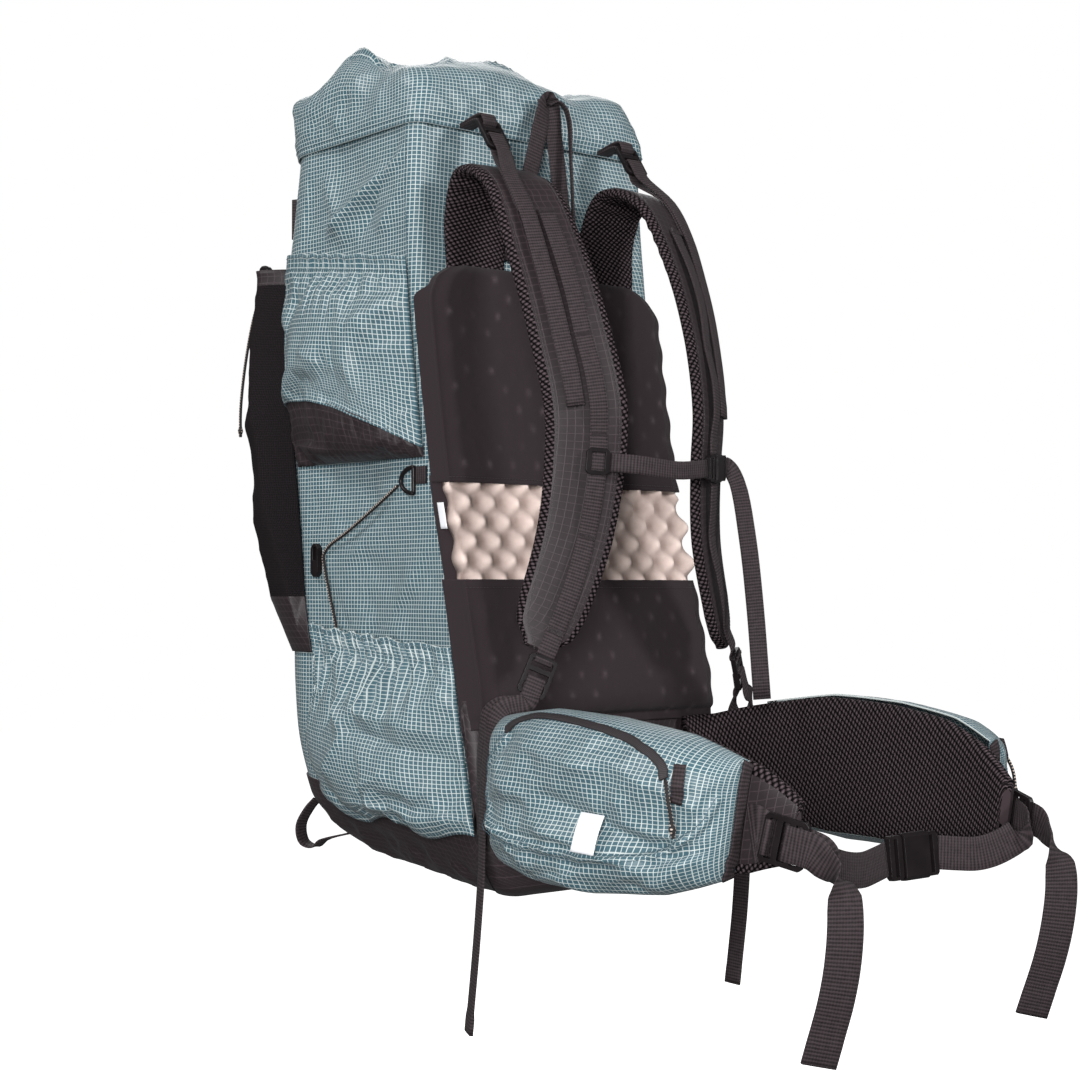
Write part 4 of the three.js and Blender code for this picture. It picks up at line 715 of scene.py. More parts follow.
def pocket_grid(rows, creases, hem, seed, spare, ruffle=0.0, arch=0.0, wrinkle=1.0):
    """Points of a left pocket: rows down it, columns from the back seam to the front seam. Ruffle is how
    tightly its hem is gathered, arch lifts the middle of its foot and wrinkle is how high it creases."""
    u, t = np.meshgrid(np.linspace(0, 1, POCKET_COLUMNS),
                       np.linspace(0, 1, POCKET_ROWS if hem else GUSSET_ROW_COUNT))
    at = (rows[0, 0] - rows[:, 0]) / (rows[0, 0] - rows[-1, 0])
    back, front, stand, lap = (smooth(t, at, rows[:, k]) for k in range(4))
    z = back + (front - back) * u
    seam = front_seam(z)
    z = z + arch * np.sin(np.pi * u) ** 0.8 * (ease(t, 0.5, 1) if hem else 1 - t)
    flat_end = np.minimum(seam, 3)
    f = np.where(u < FLAT_SHARE, 2 + (flat_end - 2) * u / FLAT_SHARE,
                 flat_end + (seam - flat_end) * (u - FLAT_SHARE) / (1 - FLAT_SHARE))
    loose = np.sin(np.pi * u) ** 0.5
    rest = POCKET_SEAT + lap + CLOTH
    belly = rest + stand * np.sin(np.pi * u) ** 0.55
    drop = t * (rows[0, 0] - rows[-1, 0])
    if hem:
        pleats = np.cos(2 * np.pi * (PLEATS * u + 0.4 * np.sin(17 * u + seed) + 0.25 * np.sin(43 * u)))
        fans = 0.5 * np.sin(11 * u + seed) + 0.12 * np.sin(31 * u) + 0.1 * t
        fans = np.cos(2 * np.pi * (FANS * u + fans))
        sewn = 0.35 + 0.65 * ease(np.minimum(np.abs(drop - 3), np.abs(drop - hem)), 0.5, 4)
        gather, below = loose * ruffle, ease(drop, hem, hem + 10)
        belly += gather * PLEAT_TALL * pleats * sewn * (1 - ease(drop, hem, hem + 18))
        belly += gather * FAN_TALL * fans * below * (1 - ease(drop, hem + 16, hem + 60))
        waves = np.cos(2 * np.pi * (WAVES * u + 0.3 * np.sin(9 * u + seed)))
        z = z + loose * (0.6 + ruffle) * waves * (1 - ease(drop, 0, 12))
    if ruffle > 1:
        z = z + 6.0 * loose * np.sin(13 * u + seed) * ease(t, 0.85, 1)
    points = off_bag(-f, z, belly)
    held = (drop < hem) | (t < 0.01) | (t > 0.985) | (u < 0.01) | (u > 0.99)
    points = billow(points, held, spare, pressure=2.5, drape=0.04, reach=8)
    body = ease(drop, hem, hem + 25) * loose
    out = off_bag(-f, z, 1.0) - off_bag(-f, z, 0.0)
    relief = folds(points[..., 1], points[..., 2], creases) + wrinkle * crumple(points, size=60, seed=seed)
    points = points + out * (body * relief)[..., None]
    sunk = rest - np.sum((points - off_bag(-f, z, 0.0)) * out, -1)
    return points + out * np.maximum(sunk, 0)[..., None]


def add_pockets(name, grid, material):
    """The left pocket and its mirror image on the right, with the weave in the size it is sewn."""
    u, t = np.meshgrid(np.linspace(-0.5, 0.5, grid.shape[1]), np.linspace(0, 1, grid.shape[0]))
    wide, tall = (np.linalg.norm(np.diff(grid, axis=k), axis=2).sum(k).mean() / 1000 for k in (1, 0))
    weave = np.stack([u * wide, -t * tall], -1)
    behind = (0, 90, grid[..., 2].mean())
    for side, points in (("left", grid), ("right", to_left(grid))):
        piece = skin(f"{name}_{side}_cloth", points, [material], uv=weave, inside=behind)
        finish_cloth(piece, f"{name}_{side}")


upper_grid = pocket_grid(UPPER_ROWS, UPPER_FOLDS, hem=14, seed=7, spare=0.06, ruffle=0.3, arch=19, wrinkle=1.1)
add_pockets("side_pocket_upper", upper_grid, blue_ripstop)
lower_grid = pocket_grid(LOWER_ROWS, LOWER_FOLDS, hem=15, seed=8, spare=0.06, ruffle=1.2, arch=-4, wrinkle=2.2)
add_pockets("side_pocket_lower", lower_grid, blue_ripstop)

# Gussets under the upper pockets: black ripstop that lets the pocket stand off the bag, folded in
# level creases under it.
GUSSET_ROWS = np.array([(-319.5, -273, 26, 0), (-321.5, -290, 29, 0), (-324.5, -309, 18, 0),
                        (-327, -326, 0.5, 0)])
GUSSET_FOLDS = [(165, -283, 30, -296, 8, 4), (155, -295, 0, -308, -8, 4), (160, -306, 20, -316, 6, 4),
                (120, -278, 80, -300, 4, 5)]
gusset_grid = pocket_grid(GUSSET_ROWS, GUSSET_FOLDS, hem=0, seed=9, spare=0.08, arch=19, wrinkle=3.0)
SEAM_TUCK = (1.2, 0, 1.5)
join = upper_grid[-1] + SEAM_TUCK - gusset_grid[0]
gusset_grid = gusset_grid + join[None] * (np.linspace(1, 0, len(gusset_grid)) ** 1.5)[:, None, None]
add_pockets("pocket_gusset", gusset_grid, black_ripstop)

# Mesh pocket: a big pocket of fine black mesh across the whole front, with a hem of solid black cloth
# on top and a band of it at its foot.
FRONT_ROWS = np.array([(-139, 34), (-150, 32), (-215, 42), (-300, 47), (-370, 45), (-440, 27), (-495, 0)])
FRONT_COLUMNS = np.array([(2.9, 0), (3, 0.5), (3.33, 0.82), (3.67, 0.95), (4, 1), (4.5, 1), (5, 1)])
fine_mesh, tree, shader = new_material("fine_mesh", roughness=0.9, specular_ior_level=0.15)
cloth = node(tree, "ShaderNodeUVMap", uv_map="cloth").outputs["UV"]
holes = node(tree, "ShaderNodeTexVoronoi", {"Vector": cloth, "Scale": scale(1.61), "Randomness": 0.15})
mesh_share = node(tree, "ShaderNodeMapRange",
                  {"Value": holes.outputs["Distance"], "From Min": 0.2, "From Max": 0.5}).outputs["Result"]
surface(tree, shader, mesh_share, "#060506", "#221d20", mesh_share, 0.4, 0.4)
MESH_TOP, MESH_FOOT, HEM_TO, BAND_FROM = -139, -495, -153, -442
c, z = np.meshgrid(np.linspace(0, 6, 64), np.linspace(MESH_TOP, MESH_FOOT, 100))
f_right = np.maximum(np.interp(c, range(7), FRONT_COLUMNS[:, 0]), front_seam(z) + 0.05 * (c + 1))
full = smooth(c, range(7), FRONT_COLUMNS[:, 1])
stand = smooth(z, FRONT_ROWS[:, 0], FRONT_ROWS[:, 1])
f_right = np.minimum(f_right, 5)
points = off_bag(f_right, z, POCKET_SEAT + CLOTH + stand * full)
slack = full * ease(stand, 2, 25)
stand = stand + slack * (5.0 * crumple(points, size=85, seed=10) - 2.5)
right_half = off_bag(f_right, z, POCKET_SEAT + CLOTH + stand * full)
pocket = np.concatenate([right_half, to_left(right_half)[:, -2::-1]], 1)
solid_row = (z[:-1, :1] < BAND_FROM) | (z[:-1, :1] > HEM_TO)
banded = np.repeat(solid_row.astype(int), pocket.shape[1] - 1, 1)
front_pocket = skin("mesh_pocket_cloth", pocket, [fine_mesh, black_ripstop], inside=(0, 100, -300),
                    regions=banded)
finish_cloth(front_pocket, "front_pocket")

# Shoulder straps: foam pads in a sewn cover, black ripstop on the face and spacer mesh on the edges
# and the inside. Over the shoulder the inside is pressed together into short pleats.
# Rows from the back of the shoulder to the foot: x, y, z, turn of the face in degrees, and width.
STRAP = np.array([
    (76, 4.5, -163, 0, 62), (77, 4, -116, 0, 64), (79, -15, -84, 4, 66), (80, -58, -98, 12, 68),
    (79, -97, -166, 22, 70), (75, -121, -234, 26, 70), (70, -133, -290, 27, 70), (69, -131, -334, 27, 68),
    (75, -125, -394, 27, 64), (93, -119, -452, 28, 58), (107, -114, -486, 30, 44)])
STRAP_THICK = 11
# Spacer mesh: a thick knit whose face is slanted rows of small round ribs, 4.65 mm apart, with dark gaps
# between them.
spacer_mesh, tree, shader = new_material("spacer_mesh", roughness=0.9, specular_ior_level=0.1)
cloth = node(tree, "ShaderNodeUVMap", uv_map="cloth").outputs["UV"]
slanted = node(tree, "ShaderNodeMapping",
               {"Vector": cloth, "Rotation": (0, 0, 0.5), "Scale": (1, 1.5, 1)}).outputs["Vector"]
knots = node(tree, "ShaderNodeTexVoronoi",
             {"Vector": slanted, "Scale": scale(4.65), "Randomness": 0.06}).outputs["Distance"]
rib = node(tree, "ShaderNodeMapRange", {"Value": knots, "From Min": 0.5, "From Max": 0.18}).outputs["Result"]
surface(tree, shader, rib, "#020102", "#5a4e52", rib, 1.0, 1.2)


def stations(points, across, count):
    """Places along a smooth line: the point, the width direction, the face direction and the way on."""
    fine = 24
    line = spline(points, fine * (count - 1) + 1)
    along = unit(np.gradient(line, axis=0))
    t = np.linspace(0, len(points) - 1, len(line))
    wide = np.stack([np.interp(t, range(len(points)), np.asarray(across, float)[:, k]) for k in range(3)], -1)
    wide = unit(wide - along * np.sum(wide * along, 1)[:, None])
    return tuple(a[::fine] for a in (line, wide, unit(np.cross(along, wide)), along))


def pad_sweep(name, line, wide, out, size, thick, face, pleats=None):
    """A padded strip: a soft rounded section along stations, ripstop on its face and mesh elsewhere."""
    angles = np.linspace(0, 2 * np.pi, 56, endpoint=False)
    c, s = np.cos(angles), np.sin(angles)
    across = np.sign(c) * np.abs(c) ** 0.45 / 2
    depth = np.sign(s) * np.abs(s) ** 0.75 / 2
    deep = depth[None] * thick * np.ones((len(line), 1))
    if pleats is not None:
        deep += pleats[:, None] * (depth * face < 0) * np.abs(np.sin(angles))[None] * -face
    sideways = across[None] * np.asarray(size)[:, None]
    grid = line[:, None] + wide[:, None] * sideways[..., None] + out[:, None] * deep[..., None]
    ends = [grid[k].mean(0) + (grid[k] - grid[k].mean(0)) * 0.6 for k in (0, -1)]
    grid = np.concatenate([[ends[0]], grid, [ends[1]]], 0)
    on_face = (depth * face > 0.2) & (np.abs(across) < 0.42)
    spans = np.where(on_face & np.roll(on_face, -1), 0, 1)
    return skin(name, grid, [black_ripstop, spacer_mesh], around=True, caps=True, regions=spans)


def add_pads(name, solid, parts, size, thick, face, pleats=None):
    """A padded strip on the right and its mirror image on the left, in place of their solids."""
    for side, mirror in SIDES:
        line, wide, out = (part * mirror for part in parts[:3])
        piece = pad_sweep(f"{name}_{side}", line, wide, out, size, thick, face, pleats)
        dress(piece, f"{solid}_{side}")


turn = np.radians(STRAP[:, 3])
strap_across = np.stack([np.cos(turn), np.sin(turn), 0 * turn], -1)
strap = stations(STRAP[:, :3], strap_across, 21)
strap_face = np.sign(strap[2][-5] @ (0, -1, 0))
FINE_STRAP, PLEAT_PITCH = 181, 15
fine_strap = stations(STRAP[:, :3], strap_across, FINE_STRAP)
row_of = np.linspace(0, 10, FINE_STRAP)
strap_wide = np.interp(row_of, range(11), STRAP[:, 4]) * (1 - 0.5 * ease(row_of, 9.3, 10) ** 2)
over_shoulder = ease(row_of, 0.8, 1.6) * (1 - ease(row_of, 3.2, 4.4))
strap_pleats = over_shoulder * 1.6 * np.cos(lengths(fine_strap[0]) / PLEAT_PITCH * 2 * np.pi)
add_pads("strap_pad", "shoulder_strap", fine_strap, strap_wide, STRAP_THICK, strap_face, strap_pleats)

# Webbing: brown-black nylon tape, woven with fine ribs across it. Ends that hang free are folded over
# and sewn down, and lengths that carry load go around the bars of ladder locks.
# Real ribs are 1 to 1.5 mm apart. They are drawn at about twice that, as coarse as they need to show.
RIB, WARP = 2.73, 2.09
webbing, tree, shader = new_material("ribbed_webbing", roughness=0.75, sheen_weight=0.02,
                                     specular_ior_level=0.3)
cloth = node(tree, "ShaderNodeUVMap", uv_map="cloth").outputs["UV"]
ribs, cords = (
    node(tree, "ShaderNodeTexWave", {"Vector": cloth, "Scale": scale(pitch, WAVE), "Distortion": uneven},
         bands_direction=way).outputs["Fac"] for pitch, uneven, way in ((RIB, 0.4, "Y"), (WARP, 0.3, "X")))
weave = node(tree, "ShaderNodeMath", {0: cords, 1: 0.35, 2: ribs}, operation="MULTIPLY_ADD").outputs[0]
spots = node(tree, "ShaderNodeTexNoise", {"Vector": cloth, "Scale": scale(4.55), "Detail": 3}).outputs["Fac"]
tone = node(tree, "ShaderNodeMath", {0: weave, 1: spots}, operation="ADD").outputs[0]
share = node(tree, "ShaderNodeMapRange", {"Value": tone, "From Min": 0.4, "From Max": 1.8}).outputs["Result"]
surface(tree, shader, share, "#150f11", "#41373a", weave, 0.5, 0.4)
WEBBING, SEAT = 1.6, 0.4
NARROW_WEB, HAUL_WEB, HIP_WEB, TAPE_WEB = 15, 18, 25, 8
# Half of a tape's section, in shares of its width and thickness: flat faces with rounded edges.
WEB_HALF = [(-0.5, -0.2), (-0.48, -0.5), (-0.25, -0.54), (0, -0.55), (0.25, -0.54), (0.48, -0.5), (0.5, -0.2)]
WEB_SECTION = np.array([*WEB_HALF, *((-x, -y) for x, y in WEB_HALF)])


def ribbon(name, line, wide, out, size, thick, material):
    """A flat tape with rounded edges along a line, given its width and face directions."""
    size, thick = (np.broadcast_to(a, len(line)) for a in (size, thick))
    grid = (line[:, None] + wide[:, None] * (WEB_SECTION[None, :, 0] * size[:, None])[..., None]
            + out[:, None] * (WEB_SECTION[None, :, 1] * thick[:, None])[..., None])
    return skin(name, grid, [material], around=True, caps=True)


def web(name, places, width, folded=0, spread=None):
    """Flat webbing through places, each a point and a width direction. Folded is the length of a
    folded end, and spread widens the start of a patch."""
    line, wide, out, _ = stations(*zip(*places), (len(places) - 1) * 5 + 1)
    at = lengths(line)
    thick = np.full(len(at), WEBBING)
    if folded:
        thick *= 1 + 0.9 * ease(at, at[-1] - folded - 1, at[-1] - folded)
    size = np.full(len(at), float(width))
    if spread:
        size += spread[0] * (1 - ease(at, 0, spread[1]))
    return ribbon(name, line, wide, out, size, thick, webbing)


def web_pair(name, places, width, **shape):
    """Webbing on the right and its mirror image on the left, in place of their solids."""
    for side, mirror in SIDES:
        piece = web(f"{name}_{side}_web", [(p * mirror, w * mirror) for p, w in places], width, **shape)
        dress(piece, f"{name}_{side}")


def on_strap(k, sideways, over=0):
    """A place on the strap's outer face at a station, off its middle line."""
    line, wide, out, _ = strap
    point = line[k] + wide[k] * sideways + out[k] * strap_face * (STRAP_THICK / 2 + 1.6 + WEBBING / 2 + over)
    return point, wide[k]


# Ladder locks: moulded frames with four bars. The webbing goes round a bar from behind.
BAR, SLOT, LOCK_THICK = 4.4, 5.2, 4
AROUND_BACK = LOCK_THICK / 2 + SEAT + WEBBING / 2
AROUND_EDGE = BAR / 2 + SEAT + WEBBING / 2


def bar_at(k):
    return (1.5 - k) * (BAR + SLOT)


class Lock:
    """A buckle's own axes at its place: across, up towards its anchor, and out of its face."""

    def __init__(self, centre, across, up):
        self.x = unit(np.array(across, float))
        self.out = unit(np.cross(self.x, up))
        self.y = np.cross(self.out, self.x)
        self.centre = np.array(centre, float)

    def at(self, along, off, across=None):
        return self.centre + self.y * along + self.out * off, self.x if across is None else across

    def around(self, k, way, across=None):
        """Webbing around a bar from the back of the buckle to the front."""
        edge, side = way * (AROUND_EDGE - 0.35), AROUND_BACK - 0.35
        stops = [(0, -AROUND_BACK), (edge, -side), (way * AROUND_EDGE, 0), (edge, side), (0, AROUND_BACK)]
        return [self.at(bar_at(k) + b, n, across) for b, n in stops]


# Moulded plastic: satin black acetal with a fine spark-eroded grain, and smears that shine more or less.
plastic, tree, shader = new_material("moulded_plastic", specular_ior_level=0.25)
place = node(tree, "ShaderNodeTexCoord").outputs["Object"]
grain = node(tree, "ShaderNodeTexNoise", {"Vector": place, "Scale": scale(0.385), "Detail": 2}).outputs["Fac"]
smears = node(tree, "ShaderNodeTexNoise", {"Vector": place, "Scale": scale(16.7), "Detail": 3}).outputs["Fac"]
surface(tree, shader, smears, "#0f0c0d", "#211b1d", grain, 0.15, 0.2)
rough = node(tree, "ShaderNodeMapRange", {"Value": smears, "To Min": 0.28, "To Max": 0.42})
tree.links.new(rough.outputs["Result"], shader.inputs["Roughness"])


def moulded(node_name, round_off=0.7):
    """A moulded copy of a solid with its flat faces joined and its edges rounded off."""
    mesh = bmesh.new()
    mesh.from_mesh(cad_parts[node_name].data)
    bmesh.ops.remove_doubles(mesh, verts=mesh.verts, dist=1e-5)
    bmesh.ops.dissolve_limit(mesh, angle_limit=math.radians(2), verts=mesh.verts, edges=mesh.edges)
    bmesh.ops.recalc_face_normals(mesh, faces=mesh.faces)
    data = bpy.data.meshes.new(node_name + "_moulded")
    mesh.to_mesh(data)
    mesh.free()
    data.materials.clear()
    data.materials.append(plastic)
    piece = bpy.data.objects.new(node_name + "_moulded", data)
    scene.collection.objects.link(piece)
    edges = piece.modifiers.new("rounded_edges", "BEVEL")
    edges.width = round_off / 1000
    edges.segments = 3
    edges.limit_method = "ANGLE"
    edges.angle_limit = math.radians(24)
    edges.harden_normals = False
    data.polygons.foreach_set("use_smooth", [True] * len(data.polygons))
    smoothing = piece.modifiers.new("flat_faces", "WEIGHTED_NORMAL")
    smoothing.keep_sharp = True
    dress(piece, node_name)
    return piece


for side in ("right", "left"):
    for name in ("lifter_buckle", "ladder_lock"):
        moulded(f"{name}_{side}")

# Load lifters: a webbing loop at the collar seam holds a ladder lock; webbing sewn to the strap goes
# up behind the lock, over its bar and down along the face of the strap to a folded end.
lifter_lock = Lock((80, -25, -50), (1, 0, 0), (0, 0.55, 0.835))
ANCHOR = np.array((80.0, 11, -30))
level = np.array((1.0, 0, 0))
web_pair("lifter_anchor", [(ANCHOR + (0, 6, -8), level), lifter_lock.at(bar_at(0) + 6, -AROUND_BACK),
                           *lifter_lock.around(0, -1), lifter_lock.at(bar_at(0) + 6, AROUND_BACK),
                           (ANCHOR + (0, 6, -6.2), level)], NARROW_WEB)
LIFTER_SIDE = 11
web_pair("load_lifter", [
    on_strap(7, LIFTER_SIDE), on_strap(6, LIFTER_SIDE), lifter_lock.at(bar_at(3) - 8, -AROUND_BACK - 1),
    lifter_lock.at(bar_at(3), -AROUND_BACK), *lifter_lock.around(2, 1),
    lifter_lock.at(bar_at(3), AROUND_BACK), lifter_lock.at(bar_at(3) - 8, AROUND_BACK),
    *(on_strap(6 + k, LIFTER_SIDE, WEBBING + SEAT) for k in range(7))], NARROW_WEB, folded=16)

# Daisy chain: webbing tacked down the face of the strap, standing off a little between its tacks, and
# looped around the bar of the ladder lock at the strap's foot.
DAISY_SIDE = -8
foot_point, foot_across = on_strap(20, DAISY_SIDE)
foot_along = strap[3][20]
strap_out = strap[2][20] * strap_face
strap_lock = Lock(foot_point + foot_along * 21 + strap_out * AROUND_BACK,
                  -np.cross(foot_along, strap_out), -foot_along)
web_pair("strap_webbing", [*(on_strap(k, DAISY_SIDE, 2.4 * (k % 3 != 1)) for k in range(7, 21)),
                           *strap_lock.around(0, -1, foot_across)], NARROW_WEB)

# Lower straps: from the bag's lower corner up to the ladder lock, over its bar and down as a free tail.
corner = np.array((0.35, -0.94, 0))
lock_across = -strap_lock.x


def sampled(places, count):
    """More places along the smooth line through a few, each a point and a width direction."""
    line, wide, _, _ = stations(*zip(*places), count)
    return list(zip(line, wide))


web_pair("lower_strap", [
    *sampled([((139.5, -86, -642), corner), ((142, -87, -600), corner), ((143, -91, -556), corner),
              ((137, -100, -533), lock_across),
              strap_lock.at(bar_at(3) - 8, -AROUND_BACK - 0.8, lock_across)], 11),
    strap_lock.at(bar_at(3), -AROUND_BACK - 0.4, lock_across), *strap_lock.around(2, 1, lock_across),
    strap_lock.at(bar_at(3), AROUND_BACK + 0.4, lock_across),
    *sampled([strap_lock.at(bar_at(3) - 8, AROUND_BACK + 0.8, lock_across), ((142, -114, -534), lock_across),
              ((149, -106, -560), corner), ((149, -99, -600), corner), ((149, -97, -660), corner),
              ((150, -92, -720), corner), ((150, -82, -792), corner)], 15)], NARROW_WEB, folded=18)

# Sternum strap: a slider on the left daisy chain, webbing across the chest and a side-release clip on
# the right strap, with a long tail that hangs from it.
up = np.array((0.0, 0, 1))
CHEST = 14
CLIP_OVER = WEBBING / 2 + SEAT + 4.5
CLIP_BAR, CLIP_SPARE = 14, 2
for name in ("sternum_slider", "sternum_socket", "sternum_tongue"):
    moulded(name)
chest_across = strap[1][CHEST]
slider = to_left(on_strap(CHEST, DAISY_SIDE, WEBBING / 2 + SEAT + 1.7)[0])
clip = on_strap(CHEST, -22, CLIP_OVER)[0]
sternum_start = slider - to_left(chest_across) * (10 + SEAT)
sternum_end = clip - chest_across * (CLIP_BAR + 0.6 + CLIP_SPARE)
sternum_middle = sternum_end + (sternum_start - sternum_end) * 0.4
sternum_middle[1:] = sternum_end[1] - 5, sternum_middle[2] - 4
sternum_places = [sternum_start, to_left(on_strap(CHEST, -40, CLIP_OVER)[0]), sternum_middle, sternum_end]
dress(web("sternum_web", [(p, up) for p in sternum_places], NARROW_WEB), "sternum_webbing")
tail_top = clip + chest_across * (NARROW_WEB * 1.1 + 5 + CLIP_BAR / 2 + CLIP_SPARE)
hanging = (0.77, -0.64, 0)
STERNUM_TAIL = [((0, 0, 0), up), ((9, 4, 2), (0.2, 0, 1)), ((16, 0, -12), (0.9, -0.3, 0.4)),
                ((14, -14, -60), hanging), ((18, -19, -120), hanging), ((21, -24, -198), hanging)]
tail_places = [(tail_top + p, np.array(w, float)) for p, w in STERNUM_TAIL]
dress(web("sternum_tail_web", tail_places, NARROW_WEB, folded=16), "sternum_tail")

# Haul loop: webbing in an upside-down V, sewn in at the top of the pad, with a narrow tape beside it.
haul_y = float(off_bag(0.0, -150.0)[1]) - 2 * SEAT - WEBBING / 2
HAUL = [((-34, haul_y, -150), (1, 0, 0.25)), ((-9, -2, -30), (1, 0, 0.3)), ((-4, -3, -5), (1, 0.5, 0.1)),
        ((0, -1, -0.8), (0.2, 1, 0)), ((4, 0, -5), (-1, 0.5, 0.1)), ((10, 1, -30), (-1, 0, 0.3)),
        ((34, haul_y, -150), (-1, 0, 0.25))]
HAUL_TAPE = [((-1.3, -4, -7), (0.5, 1, 0.6)), ((8, -6, -2.5), (0.1, 1, 0.4)), ((17, -9, -12), (0.3, 1, 0.1)),
             ((21, -10, -60), (0.5, 0.9, 0)), ((24, -10, -110), (0.5, 0.9, 0)),
             ((27, -12, -150), (0.5, 0.9, 0))]
dress(web("haul_web", sampled(HAUL, 13), HAUL_WEB), "haul_loop")
dress(web("haul_tape", HAUL_TAPE, TAPE_WEB))

# Hip wings: padded wings of black ripstop, lined with spacer mesh, that go forwards around the hips.
# Rows from the back to the tip: x, y, z, how far the width direction leans in y, and width.
WING = np.array([(92, -86, -591, 0.236, 84), (120, -93, -591, 0.22, 86), (137, -126, -589, 0.12, 98),
                 (146, -200, -587, 0.03, 114), (145, -270, -589, 0, 112), (137, -330, -592, 0, 100),
                 (126, -376, -598, 0, 74), (117, -403, -604, 0, 46)])
WING_THICK = 13
FINE_WING = 301
wing_across = np.stack([0 * WING[:, 3], WING[:, 3], 1 + 0 * WING[:, 3]], -1)
wing = stations(WING[:, :3], wing_across, 15)
fine_wing = stations(WING[:, :3], wing_across, FINE_WING)
wing_size = np.interp(np.linspace(0, 7, FINE_WING), range(8), WING[:, 4])
wing_face = np.sign(wing[2][7][0])
add_pads("wing_pad", "hip_wing", [part[::2] for part in fine_wing], wing_size[::2], WING_THICK, wing_face)


def off_wing(parts, k, across, off):
    """A place off the wing's outer face at a station."""
    line, wide, out, _ = parts
    return line[k] + wide[k] * across + out[k] * wing_face * (WING_THICK / 2 + SEAT + off)


# Hip pockets: puffed pockets of blue ripstop on the wings, of a face and a gusset sewn with a raised
# seam, with a zip along the top. A bare white tag is sewn on the left pocket.
POCKET_FROM, POCKET_TO, POCKET_DEPTH, POCKET_SAG, POCKET_REACH = 0.3, 0.83, 46, 0.42, 1.04
# Creases of the pocket: place along and up it for both ends, height and half width (shares of 100).
HIP_FOLDS = [
    (34, 12, 92, -22, -8, 8), (30, -6, 78, -30, 6, 7), (20, 40, 60, 30, 5, 8), (55, 42, 96, 12, 5, 8),
    (60, 2, 96, -12, 6, 6), (8, -10, 30, -40, 6, 6), (40, -38, 52, -56, 6, 5), (66, -36, 80, -56, -6, 6),
    (84, 30, 82, -14, -6, 6), (90, -20, 78, -50, 5, 6), (20, -30, 30, -54, -5, 6), (12, 30, 22, 4, 4, 7)]
HIP_ROWS, HIP_COLUMNS = 101, 121


def hip_pocket(u, v, extra):
    """A place off the right wing: u along the pocket, v from -1 at its foot to 1 at its top."""
    u, v, extra = np.broadcast_arrays(*(np.asarray(a, float) for a in (u, v, extra)))
    k = np.round((POCKET_FROM + (POCKET_TO - POCKET_FROM) * u) * (FINE_WING - 1)).astype(int)
    dome = np.sqrt(np.maximum(0, (1 - v ** 4) * (1 - (2 * u - 1) ** 4)))
    line, wide, out, _ = fine_wing
    across = wing_size[k] * POCKET_REACH / 2 * (v - POCKET_SAG * dome * (1 - v) / 2)
    off = WING_THICK / 2 + SEAT * 1.5 + extra + dome * POCKET_DEPTH
    return line[k] + wide[k] * across[..., None] + out[k] * wing_face * off[..., None]


turned = np.linspace(0, np.pi, HIP_COLUMNS)
u, v = np.meshgrid(0.5 - np.cos(turned) / 2, np.cos(np.linspace(0, np.pi, HIP_ROWS)))
pocket = hip_pocket(u, v, CLOTH)
free = np.clip((1 - v ** 6) * (1 - (2 * u - 1) ** 6), 0, 1)
relief = free * (1.5 * folds(u * 100, v * 60, HIP_FOLDS) + 4.6 * crumple(pocket, size=54, seed=11) - 2.4)
pocket = hip_pocket(u, v, CLOTH + relief)
edge = (u < 0.004) | (u > 0.996) | (np.abs(v) > 0.998)
behind_pocket = pocket.mean((0, 1)) * (0.6, 1, 1)
pocket = billow(pocket, edge, spare=0.05, pressure=3.0, drape=0.05, reach=8, behind=behind_pocket)
POCKET_SEAM = [(0.15, 0.72), (0.06, 0.3), (0.07, -0.1), (0.18, -0.32), (0.42, -0.37), (0.6, -0.37),
               (0.78, -0.3), (0.91, -0.04), (0.96, 0.4)]


def on_cloth(grid, row, column, behind):
    """Places and outward directions on a cloth's grid, at rows and columns that need not be whole."""
    row = np.clip(row, 0, grid.shape[0] - 1.001)
    column = np.clip(column, 0, grid.shape[1] - 1.001)
    i, j = row.astype(int), column.astype(int)
    a, b = (row - i)[..., None], (column - j)[..., None]
    faces = np.cross(np.gradient(grid, axis=0), np.gradient(grid, axis=1))
    faces = unit(faces) * np.sign(np.sum(faces * (grid - behind)))

    def mixed(g):
        near, far = (g[i, j + k] * (1 - a) + g[i + 1, j + k] * a for k in (0, 1))
        return near * (1 - b) + far * b

    return mixed(grid), unit(mixed(faces))


def on_pocket(places, count):
    """Places and outward directions on the hip pocket along a smooth line through places u, v."""
    u, v, _ = spline([(a, b, 0) for a, b in places], count).T
    row = np.arccos(np.clip(v, -1, 1)) / np.pi * (HIP_ROWS - 1)
    column = np.arccos(np.clip(1 - 2 * u, -1, 1)) / np.pi * (HIP_COLUMNS - 1)
    return on_cloth(pocket, row, column, behind_pocket)


seam_line = on_pocket(POCKET_SEAM, 120)[0]
from_seam = np.min(np.linalg.norm(pocket[:, :, None] - seam_line[None, None], axis=-1), axis=-1)
ridge_height = 3.2 * np.exp(-(from_seam / 2.2) ** 2) - 2.2 * np.exp(-((from_seam - 6) / 4) ** 2)
every = np.meshgrid(np.arange(float(HIP_ROWS)), np.arange(float(HIP_COLUMNS)), indexing="ij")
_, outwards = on_cloth(pocket, *every, behind_pocket)
pocket = pocket + outwards * (free * ridge_height)[..., None]
along_it, down_it = lengths(pocket[HIP_ROWS // 2]), -lengths(pocket[:, HIP_COLUMNS // 2])
weave = np.stack(np.broadcast_arrays(along_it[None, :], down_it[:, None]), -1) / 1000
for side, mirror in SIDES:
    points = pocket * mirror
    piece = skin(f"hip_pocket_{side}_cloth", points, [blue_ripstop], uv=weave,
                 inside=points.mean((0, 1)) * (0.6, 1, 1))
    finish_cloth(piece, f"hip_pocket_{side}")

